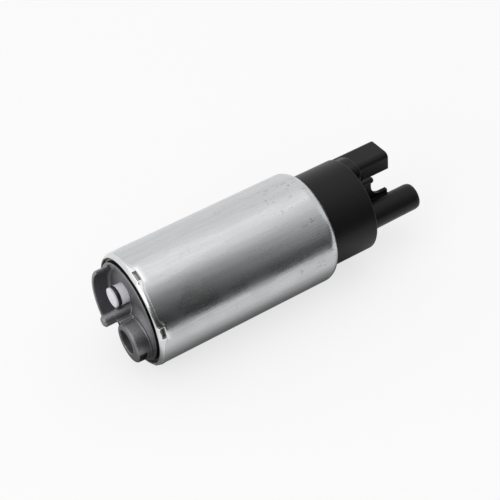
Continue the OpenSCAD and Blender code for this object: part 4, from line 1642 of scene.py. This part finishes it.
    def short_scratches(self) -> None:
        """Thin short scratches, most of them slanting along the pump."""
        wiring, given, result = self.start(Effect.SCRATCHES, {"Size": 5.0, "Width": 0.012,
                                                              "Amount": 0.5}, ("Mask",))
        point = self.millimetres(wiring)
        rate = wiring.math("DIVIDE", 1.0, given.outputs["Size"])
        wavy = wiring.add("ShaderNodeTexNoise", {"Vector": point, "Scale": 0.35, "Detail": 2.0})
        bent = wiring.add("ShaderNodeVectorMath", {0: point, 1: wavy.outputs["Color"]},
                          operation="ADD").outputs[0]
        found = []
        for slant, stretch in ((0.35, 0.28), (-0.9, 0.35)):
            turned = wiring.add("ShaderNodeMapping", {"Vector": bent,
                                                      "Rotation": (slant, 0.2, slant),
                                                      "Scale": (stretch, 1.0, 1.0)}).outputs[0]
            cells = wiring.add("ShaderNodeTexVoronoi", {"Vector": turned, "Scale": rate},
                               feature="DISTANCE_TO_EDGE")
            found.append(wiring.math("LESS_THAN", cells.outputs[0], given.outputs["Width"]))
        lines = wiring.math("MAXIMUM", found[0], found[1])
        gate = wiring.add("ShaderNodeTexNoise", {"Vector": point, "Scale": 0.55, "Detail": 1.0})
        start = wiring.math("SUBTRACT", 1.1, given.outputs["Amount"])
        kept = wiring.smooth(gate.outputs[0], wiring.math("MULTIPLY", start, 0.95), start)
        wiring.tree.links.new(wiring.math("MULTIPLY", lines, kept), result.inputs["Mask"])

    def place(self, wiring: Wiring, effect: Effect, **values: float) -> bpy.types.Node:
        """Places a group in a material.

        Args:
            wiring: the material's wiring.
            effect: which effect it is.
            values: its own values, by the inputs' names in small letters.

        Returns:
            The group's node.
        """
        node = wiring.add("ShaderNodeGroup", node_tree=self.groups[effect])
        for name, value in values.items():
            node.inputs[name.capitalize()].default_value = value
        return node


# Finishes


@dataclass(frozen=True)
class Finish:
    """How one material of the pump looks."""

    slot: Slot
    color: tuple[float, float, float]
    roughness: float
    metallic: float = 0.0
    specular: float = 0.5
    relief: Relief = Relief.GRAIN
    size: float = 0.4
    depth: float = 0.12
    tone: float = 0.12
    spread: float = 0.08
    # Lighter edges: rubbed wear on the casting, a painted edge highlight on the black moulding.
    wear_and_highlight: float = 0.0
    worn_and_lit: tuple[float, float, float] = (0.5, 0.5, 0.5)
    see_in: float = 0.0
    see_in_depth: float = 1.0
    cloud_scale: float = 14.0
    cloud_share: float = 0.5
    cloud_tone: float = 1.4

    def shade(self, share: float) -> tuple[float, float, float, float]:
        """The finish's colour made lighter or darker by a share."""
        return (*(min(c * (1 + share), 1.0) for c in self.color), 1.0)

    def texture(self, wiring: Wiring, effects: Effects) -> bpy.types.Node:
        """Places the group that breaks up this surface.

        Args:
            wiring: the material's wiring.
            effects: the shared node groups.

        Returns:
            The group's node.
        """
        if self.relief is Relief.TURNS:
            return effects.place(wiring, Effect.TURNS, pitch=self.size)
        if self.relief is Relief.STREAKS:
            return effects.place(wiring, Effect.STREAKS, across=self.size)
        return effects.place(wiring, Effect.GRAIN, size=self.size)

    def colored(self, wiring: Wiring, effects: Effects,
                texture: bpy.types.Node) -> bpy.types.NodeSocket:
        """Mixes the finish's colour from its grain, its soft patches and its lighter edges:
        rubbed wear on the casting, a painted edge highlight on the black moulding.

        Args:
            wiring: the material's wiring.
            effects: the shared node groups.
            texture: the group that breaks up this surface.

        Returns:
            The colour.
        """
        clouds = effects.place(wiring, Effect.CLOUDS, size=self.size * self.cloud_scale)
        grain = wiring.mix(texture.outputs["Mask"], self.shade(-self.tone), self.shade(self.tone))
        patches = wiring.math("MULTIPLY", clouds.outputs["Mask"], self.cloud_share)
        color = wiring.mix(patches, grain, self.shade(-self.cloud_tone * self.tone))
        # Lighter edges: rubbed wear on the casting, a painted edge highlight on the black moulding.
        if self.wear_and_highlight:
            edges = effects.place(wiring, Effect.WEAR_AND_HIGHLIGHT)
            rubbed = wiring.math("MULTIPLY", edges.outputs["Mask"], self.wear_and_highlight)
            color = wiring.mix(rubbed, color, (*self.worn_and_lit, 1.0))
        return color

    def material(self, effects: Effects) -> bpy.types.Material:
        """Builds the material.

        Args:
            effects: the shared node groups.

        Returns:
            The material, named after its slot.
        """
        made = bpy.data.materials.new(self.slot.value)
        made.use_nodes = True
        made.node_tree.nodes.clear()
        wiring = Wiring(made.node_tree)
        texture = self.texture(wiring, effects)
        color = self.colored(wiring, effects, texture)
        rough = wiring.between(texture.outputs["Mask"], self.roughness + self.spread,
                               self.roughness - self.spread)
        bump = wiring.add("ShaderNodeBump", {"Strength": self.depth, "Distance": self.size * MM,
                                             "Height": texture.outputs["Height"]})
        shader = wiring.add("ShaderNodeBsdfPrincipled", {
            "Base Color": color, "Roughness": rough, "Metallic": self.metallic,
            "Specular IOR Level": self.specular, "Normal": bump.outputs[0],
            "Subsurface Weight": self.see_in})
        shader.inputs["Subsurface Radius"].default_value = (self.see_in_depth * MM,) * 3
        self.finish(wiring, shader)
        return made

    @staticmethod
    def finish(wiring: Wiring, shader: bpy.types.Node) -> None:
        """Links the shader to the material's output."""
        output = wiring.add("ShaderNodeOutputMaterial")
        wiring.tree.links.new(shader.outputs[0], output.inputs["Surface"])


@dataclass(frozen=True)
class CastMetal(Finish):
    """Grey die casting with painted shade in its vent, round its rim and on the rim by the boss."""

    painted_shade_color: tuple[float, float, float] = (0.025, 0.024, 0.023)

    def colored(self, wiring: Wiring, effects: Effects,
                texture: bpy.types.Node) -> bpy.types.NodeSocket:
        """Mixes the casting's colour and its painted shade.

        Args:
            wiring: the material's wiring.
            effects: the shared node groups.
            texture: the group that breaks up this surface.

        Returns:
            The colour.
        """
        plain = super().colored(wiring, effects, texture)
        # Painted shade: the casting turns nearly black where its mask is full.
        return wiring.mix(wiring.point_value("painted_shade"), plain, (*self.painted_shade_color, 1.0))


@dataclass(frozen=True)
class RolledSteel(Finish):
    """Satin sheet steel with drawn lines, handling marks, a burnished lip, and painted shade in the
    stakes' pockets and at the lip's inner edge.
    """

    burnished: tuple[float, float, float] = (0.86, 0.86, 0.86)
    burnish_share: float = 0.85
    marked: tuple[float, float, float] = (0.16, 0.155, 0.15)
    mark_share: float = 0.75
    # Colour of the painted shade in the stakes' pockets and the lip's inner gap.
    lip_shade_color: tuple[float, float, float] = (0.05, 0.047, 0.044)
    broad_lines: tuple[float, float] = (22.0, 1.9)
    fine_along: float = 9.0
    fine_share: float = 0.4
    fine_tone: float = 0.6
    cloud_size: float = 9.0
    speck_size: float = 2.6
    speck_share: float = 0.05
    scratch_size: float = 7.0
    scratch_width: float = 0.01
    scratch_amount: float = 0.5
    scratch_range: tuple[float, float] = (0.12, 0.75)
    broad_height: float = 1.6
    fine_height: float = 0.4
    mark_height: float = 0.25
    relief_depth: float = 0.1
    fine_rough: float = 0.05
    mark_rough: float = 0.15
    burnish_smooth: float = 0.1
    lip_shade_rough: float = 0.3

    def material(self, effects: Effects) -> bpy.types.Material:
        """Builds the can's material from its lines, marks, burnished places and painted shade.

        Args:
            effects: the shared node groups.

        Returns:
            The material, named after its slot.
        """
        made = bpy.data.materials.new(self.slot.value)
        made.use_nodes = True
        made.node_tree.nodes.clear()
        wiring = Wiring(made.node_tree)
        along, across = self.broad_lines
        broad = effects.place(wiring, Effect.STREAKS, along=along, across=across)
        fine = effects.place(wiring, Effect.STREAKS, along=self.fine_along, across=self.size)
        clouds = effects.place(wiring, Effect.CLOUDS, size=self.cloud_size)
        specks = effects.place(wiring, Effect.SPECKS, size=self.speck_size, share=self.speck_share)
        scratches = effects.place(wiring, Effect.SCRATCHES, size=self.scratch_size,
                                  width=self.scratch_width, amount=self.scratch_amount)
        rubbed, lip_shade = wiring.point_value("burnish"), wiring.point_value("lip_shade")
        kept = wiring.between(wiring.point_value("handling"), *self.scratch_range)
        color = wiring.mix(broad.outputs["Mask"], self.shade(-self.tone), self.shade(self.tone))
        color = wiring.mix(wiring.math("MULTIPLY", fine.outputs["Mask"], self.fine_share), color,
                           self.shade(-self.fine_tone * self.tone))
        marks = wiring.math("MAXIMUM", specks.outputs["Mask"],
                            wiring.math("MULTIPLY", scratches.outputs["Mask"], kept))
        color = wiring.mix(wiring.math("MULTIPLY", marks, self.mark_share), color,
                           (*self.marked, 1.0))
        color = wiring.mix(wiring.math("MULTIPLY", rubbed, self.burnish_share), color,
                           (*self.burnished, 1.0))
        # Painted shade: the stakes' pockets and the lip's inner gap turn nearly black and rougher.
        color = wiring.mix(lip_shade, color, (*self.lip_shade_color, 1.0))
        rough = wiring.between(clouds.outputs["Mask"], self.roughness - self.spread,
                               self.roughness + self.spread)
        rough = wiring.math("ADD", rough, wiring.math("MULTIPLY", fine.outputs["Mask"],
                                                      self.fine_rough))
        rough = wiring.math("ADD", rough, wiring.math("MULTIPLY", marks, self.mark_rough))
        rough = wiring.math("SUBTRACT", rough, wiring.math("MULTIPLY", rubbed,
                                                           self.burnish_smooth))
        rough = wiring.math("ADD", rough, wiring.math("MULTIPLY", lip_shade, self.lip_shade_rough))
        height = wiring.math(
            "ADD", wiring.math("MULTIPLY", broad.outputs["Height"], self.broad_height),
            wiring.math("MULTIPLY", fine.outputs["Height"], self.fine_height))
        height = wiring.math("SUBTRACT", height, wiring.math("MULTIPLY", marks, self.mark_height))
        bump = wiring.add("ShaderNodeBump", {"Strength": self.depth, "Height": height,
                                             "Distance": self.relief_depth * MM})
        # The painted shade also takes the metal's shine away.
        shader = wiring.add("ShaderNodeBsdfPrincipled", {
            "Base Color": color, "Roughness": rough,
            "Metallic": wiring.math("SUBTRACT", self.metallic, lip_shade), "Normal": bump.outputs[0]})
        self.finish(wiring, shader)
        return made


FINISHES: tuple[Finish, ...] = (
    RolledSteel(Slot.CAN_STEEL, (0.545, 0.553, 0.566), 0.26, metallic=1.0, size=0.35, depth=0.16,
                tone=0.05, spread=0.03),
    CastMetal(Slot.CAST_ALUMINIUM, (0.25, 0.247, 0.26), 0.46, metallic=0.95, size=0.45,
              depth=0.2, tone=0.12, wear_and_highlight=0.5, worn_and_lit=(0.36, 0.36, 0.37)),
    Finish(Slot.SEAL_RUBBER, (0.008, 0.008, 0.009), 0.32, specular=0.5, size=0.3, depth=0.05),
    Finish(Slot.WHITE_NYLON, (0.72, 0.715, 0.755), 0.42, size=0.6, depth=0.04, tone=0.03,
           see_in=0.1),
    Finish(Slot.CERAMIC, (0.8, 0.78, 0.7), 0.3, size=0.25, depth=0.05, tone=0.04),
    Finish(Slot.IMPELLER_RESIN, (0.22, 0.11, 0.045), 0.45, size=0.4, depth=0.1),
    Finish(Slot.SINTERED_BRONZE, (0.45, 0.28, 0.11), 0.42, metallic=0.9, size=0.18, depth=0.3,
           tone=0.2),
    Finish(Slot.SHAFT_STEEL, (0.62, 0.62, 0.63), 0.16, metallic=1.0, relief=Relief.TURNS,
           size=0.12, depth=0.04, tone=0.03, spread=0.03),
    Finish(Slot.LAMINATION_STEEL, (0.24, 0.24, 0.25), 0.4, metallic=0.9, relief=Relief.TURNS,
           size=0.5, depth=0.35, tone=0.25),
    Finish(Slot.ENAMELLED_COPPER, (0.42, 0.12, 0.035), 0.28, metallic=0.75, relief=Relief.TURNS,
           size=0.55, depth=0.6, tone=0.3),
    Finish(Slot.FIBRE_BOARD, (0.5, 0.4, 0.17), 0.7, size=0.5, depth=0.15, tone=0.15),
    Finish(Slot.PHENOLIC, (0.05, 0.03, 0.02), 0.45, size=0.4, depth=0.1),
    Finish(Slot.CARBON, (0.02, 0.02, 0.022), 0.5, size=0.15, depth=0.2, tone=0.3),
    Finish(Slot.FERRITE, (0.03, 0.03, 0.032), 0.5, specular=0.6, size=0.35, depth=0.2, tone=0.2),
    Finish(Slot.SPRING_STEEL, (0.5, 0.5, 0.51), 0.22, metallic=1.0, relief=Relief.STREAKS,
           size=0.1, depth=0.05, tone=0.06),
    Finish(Slot.NATURAL_NYLON, (0.62, 0.55, 0.36), 0.42, size=0.5, depth=0.05, tone=0.05,
           see_in=0.08),
    Finish(Slot.BARE_COPPER, (0.6, 0.24, 0.1), 0.35, metallic=1.0, relief=Relief.STREAKS,
           size=0.08, depth=0.3, tone=0.2),
    Finish(Slot.TINNED_BRASS, (0.58, 0.54, 0.42), 0.28, metallic=1.0, relief=Relief.STREAKS,
           size=0.25, depth=0.1, tone=0.06),
    # Its lighter edges are painted edge highlights.
    Finish(Slot.BLACK_NYLON, (0.004, 0.004, 0.0046), 0.4, specular=0.21, size=0.22, depth=0.08,
           tone=0.15, spread=0.05, wear_and_highlight=0.35, worn_and_lit=(0.05, 0.05, 0.052)),
)


# Studio and camera


@dataclass
class Lamp:
    """A square soft light that looks at the pump."""

    name: str
    place: tuple[float, float, float]
    size: float
    power: float

    def build(self) -> None:
        """Adds the light."""
        light = bpy.data.lights.new(self.name, "AREA")
        light.size = self.size
        light.energy = self.power
        lamp = bpy.data.objects.new(self.name, light)
        bpy.context.scene.collection.objects.link(lamp)
        lamp.location = self.place
        lamp.rotation_euler = (-Vector(self.place)).to_track_quat("-Z", "Y").to_euler()


@dataclass(frozen=True)
class CardRow:
    """One level line of the shaded card: its place, where its fade starts, and its two shades."""

    y: float
    z: float
    fade_x: float
    inlet_shade: float
    outlet_shade: float


@dataclass
class Studio:
    """A pale floor, a pale room, soft lights and a shaded card that the can mirrors."""

    floor_half: float = 3.0
    floor_shade: float = 0.9
    floor_fade: tuple[float, float] = (0.2, 1.2)
    floor_seen: float = 0.7
    floor_mirrored: float = 0.85
    contact_x: float = -0.015
    contact_half: float = 0.034
    contact_fade: tuple[float, float] = (0.014, 0.034)
    contact_shade: float = 0.12
    room_light: float = 0.78
    card_half: float = 0.5
    card_fade: float = 0.053
    card_rows: tuple[CardRow, ...] = (
        CardRow(-0.078, 0.0005, -0.02, 0.02, 0.03), CardRow(-0.108, 0.031, -0.008, 0.045, 0.12),
        CardRow(-0.147, 0.074, 0.011, 0.09, 0.33), CardRow(-0.27, 0.21, 0.079, 0.16, 0.48),
        CardRow(-0.3, 0.386, 0.135, 0.34, 0.7), CardRow(-0.3, 0.75, 0.2, 0.85, 0.88))
    lamps: tuple[Lamp, ...] = (
        Lamp("overhead_softbox", (-0.1, 0.1, 0.75), 0.9, 0.85),
        Lamp("inlet_softbox", (-0.8, -0.25, 0.5), 0.6, 2.0),
    )

    @staticmethod
    def mirrored(rays: bpy.types.Node, wiring: Wiring) -> bpy.types.NodeSocket:
        """1 for what a mirror or a glass sees."""
        return wiring.math("MAXIMUM", rays.outputs["Is Glossy Ray"],
                           rays.outputs["Is Transmission Ray"])

    def floor(self) -> None:
        """Adds the white floor, which keeps the pump's shadow, fades into the room, and shows
        mirrors a painted contact shadow round the can.
        """
        half = self.floor_half
        mesh = bpy.data.meshes.new("floor")
        mesh.from_pydata([(-half, -half, 0), (half, -half, 0), (half, half, 0), (-half, half, 0)],
                         [], [(0, 1, 2, 3)])
        paper = bpy.data.materials.new("white_paper")
        paper.use_nodes = True
        paper.node_tree.nodes.clear()
        wiring = Wiring(paper.node_tree)
        matte = wiring.add("ShaderNodeBsdfDiffuse", {"Color": (*(self.floor_shade,) * 3, 1.0)})
        glow = wiring.add("ShaderNodeEmission", {"Color": WHITE, "Strength": 1.0})
        place = wiring.add("ShaderNodeTexCoord").outputs["Object"]
        reach = wiring.add("ShaderNodeVectorMath", {0: place}, operation="LENGTH").outputs["Value"]
        far = wiring.smooth(reach, *self.floor_fade)
        rays = wiring.add("ShaderNodeLightPath")
        seen = wiring.math("MULTIPLY", rays.outputs["Is Camera Ray"],
                           wiring.between(far, self.floor_seen, 1.0))
        mirrored = wiring.math("MULTIPLY", self.mirrored(rays, wiring),
                               wiring.between(far, self.floor_mirrored, 1.0))
        share = wiring.math("MAXIMUM", seen, mirrored)
        # Painted contact shadow, which only mirrors see.
        painted_shadow_glow = self.painted_shadow_glow(wiring, place)
        wiring.tree.links.new(wiring.math("MAXIMUM", rays.outputs["Is Camera Ray"], painted_shadow_glow),
                              glow.inputs["Strength"])
        both = wiring.add("ShaderNodeMixShader", {0: share, 1: matte.outputs[0],
                                                  2: glow.outputs[0]})
        Finish.finish(wiring, both)
        mesh.materials.append(paper)
        floor = bpy.data.objects.new("floor", mesh)
        bpy.context.scene.collection.objects.link(floor)

    def painted_shadow_glow(self, wiring: Wiring, place: bpy.types.NodeSocket) -> bpy.types.NodeSocket:
        """How bright mirrors see the floor, with a painted contact shadow round the can.

        Args:
            wiring: the floor's wiring.
            place: the point on the floor.

        Returns:
            Little below the can, where the painted contact shadow is, and 1 out in the open.
        """
        parts = wiring.add("ShaderNodeSeparateXYZ", {0: place})
        past_x = wiring.math("ABSOLUTE", wiring.math("SUBTRACT", parts.outputs[0],
                                                     self.contact_x))
        past_x = wiring.math("MAXIMUM", wiring.math("SUBTRACT", past_x, self.contact_half), 0.0)
        off = wiring.math("SQRT", wiring.math("ADD", wiring.math("MULTIPLY", past_x, past_x),
                                              wiring.math("MULTIPLY", parts.outputs[1],
                                                          parts.outputs[1])))
        return wiring.between(wiring.smooth(off, *self.contact_fade), self.contact_shade, 1.0)

    def card(self) -> None:
        """Adds the curved card in front, which only mirrors show, darkest at its foot."""
        rows = self.card_rows
        points = [(x, row.y, row.z) for row in rows
                  for x in (-self.card_half, row.fade_x, row.fade_x + self.card_fade,
                            self.card_half)]
        shades = [shade for row in rows
                  for shade in (row.inlet_shade, row.inlet_shade, row.outlet_shade,
                                row.outlet_shade)]
        faces = [(4 * i + k, 4 * i + k + 1, 4 * i + k + 5, 4 * i + k + 4)
                 for i in range(len(rows) - 1) for k in range(3)]
        mesh = bpy.data.meshes.new("shaded_card")
        mesh.from_pydata(points, [], faces)
        level = mesh.attributes.new("level", "FLOAT", "POINT")
        level.data.foreach_set("value", shades)
        paint = bpy.data.materials.new("shaded_card")
        paint.use_nodes = True
        paint.node_tree.nodes.clear()
        wiring = Wiring(paint.node_tree)
        shade = wiring.add("ShaderNodeAttribute", attribute_name="level").outputs["Fac"]
        glow = wiring.add("ShaderNodeEmission", {"Strength": shade})
        Finish.finish(wiring, glow)
        mesh.materials.append(paint)
        card = bpy.data.objects.new("shaded_card", mesh)
        bpy.context.scene.collection.objects.link(card)
        card.visible_camera = False
        card.visible_diffuse = False
        card.visible_shadow = False

    def room(self) -> None:
        """Sets the world: white where it is seen, and a plain grey light on the pump."""
        world = bpy.data.worlds.new("studio_room")
        world.use_nodes = True
        world.node_tree.nodes.clear()
        wiring = Wiring(world.node_tree)
        rays = wiring.add("ShaderNodeLightPath")
        seen = wiring.math("MAXIMUM", rays.outputs["Is Camera Ray"], self.mirrored(rays, wiring))
        level = wiring.between(seen, self.room_light, 1.0)
        glow = wiring.add("ShaderNodeBackground", {"Color": WHITE, "Strength": level})
        output = wiring.add("ShaderNodeOutputWorld")
        world.node_tree.links.new(glow.outputs[0], output.inputs["Surface"])
        bpy.context.scene.world = world

    def build(self) -> None:
        """Adds the floor, the card, the room and the lamps."""
        self.floor()
        self.card()
        self.room()
        for lamp in self.lamps:
            lamp.build()
        bpy.context.scene.view_settings.view_transform = "Standard"


@dataclass
class PhotoCamera:
    """The photograph's camera, fitted to the can's outline."""

    azimuth: float = -29.103
    elevation: float = 41.288
    roll: float = -5.833
    distance: float = 0.44056
    aim: tuple[float, float, float] = (-0.003275, 0.000976, 0.019)
    lens: float = 99.065
    sensor: float = 36.0

    def build(self) -> None:
        """Adds the camera and makes it the scene's own."""
        a, e = math.radians(self.azimuth), math.radians(self.elevation)
        back = Vector((math.sin(a) * math.cos(e), -math.cos(a) * math.cos(e), math.sin(e)))
        level = (-back).to_track_quat("-Z", "Y").to_matrix()
        turned = level @ Matrix.Rotation(math.radians(self.roll), 3, "Z")
        data = bpy.data.cameras.new("photo_camera")
        data.lens = self.lens
        data.sensor_width = self.sensor
        data.clip_start = 0.01
        camera = bpy.data.objects.new("photo_camera", data)
        bpy.context.scene.collection.objects.link(camera)
        camera.matrix_world = Matrix.Translation(Vector(self.aim) + back * self.distance) \
            @ turned.to_4x4()
        bpy.context.scene.camera = camera


@dataclass
class InnerParts:
    """The springs and leads that the cover and head hide."""

    tube: tuple[float, float] = polar(6.7, 222.6)
    relief: tuple[float, float] = (3.5, -8.5)
    brush_y: float = 7.0

    def build(self, bench: Bench) -> None:
        """Adds the four springs and the two leads.

        Args:
            bench: where pieces are made.
        """
        for side, letter, body in ((1, "a", Body.BRUSH_A), (-1, "b", Body.BRUSH_B)):
            Coil(f"brush_spring_{letter}", f"brush_{letter}_slide", x0=65.55, x1=76.45,
                 centre=(side * self.brush_y, 0.0), radius=1.9, wire_r=0.25, turns=9.0,
                 travel=2.0).build(bench)
            Pigtail(side, body).build(bench)
        Coil("check_spring", "check_valve_slide", x0=84.2, x1=89.2, centre=self.tube,
             radius=1.8, wire_r=0.2, turns=6.0, travel=2.0).build(bench)
        Coil("relief_spring", "relief_valve_slide", x0=76.85, x1=81.35, centre=self.relief,
             radius=1.3, wire_r=0.2, turns=6.0, travel=1.2).build(bench)


def dress_nodes(bench: Bench) -> None:
    """Gives every CAD node the finish of its slot.

    Args:
        bench: the bench that holds the finishes.
    """
    for part in frame["record"]["subparts"]:
        node = frame["nodes"][part["node"]]
        node.data.materials.clear()
        node.data.materials.append(bench.paints[Slot(part["material_slot"])])


def main() -> None:
    """Builds the pump's looks, its studio and its camera."""
    logging.basicConfig(level=logging.INFO, format="%(name)s: %(message)s")
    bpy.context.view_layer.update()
    effects = Effects()
    bench = Bench(Place.from_can(), {f.slot: f.material(effects) for f in FINISHES})
    dress_nodes(bench)
    PhotoCamera().build()
    Studio().build()
    for part in (SteelCan(), InletCover(), OutletHead(), BladePair(), InnerParts()):
        part.build(bench)


if __name__ == "__main__":
    main()
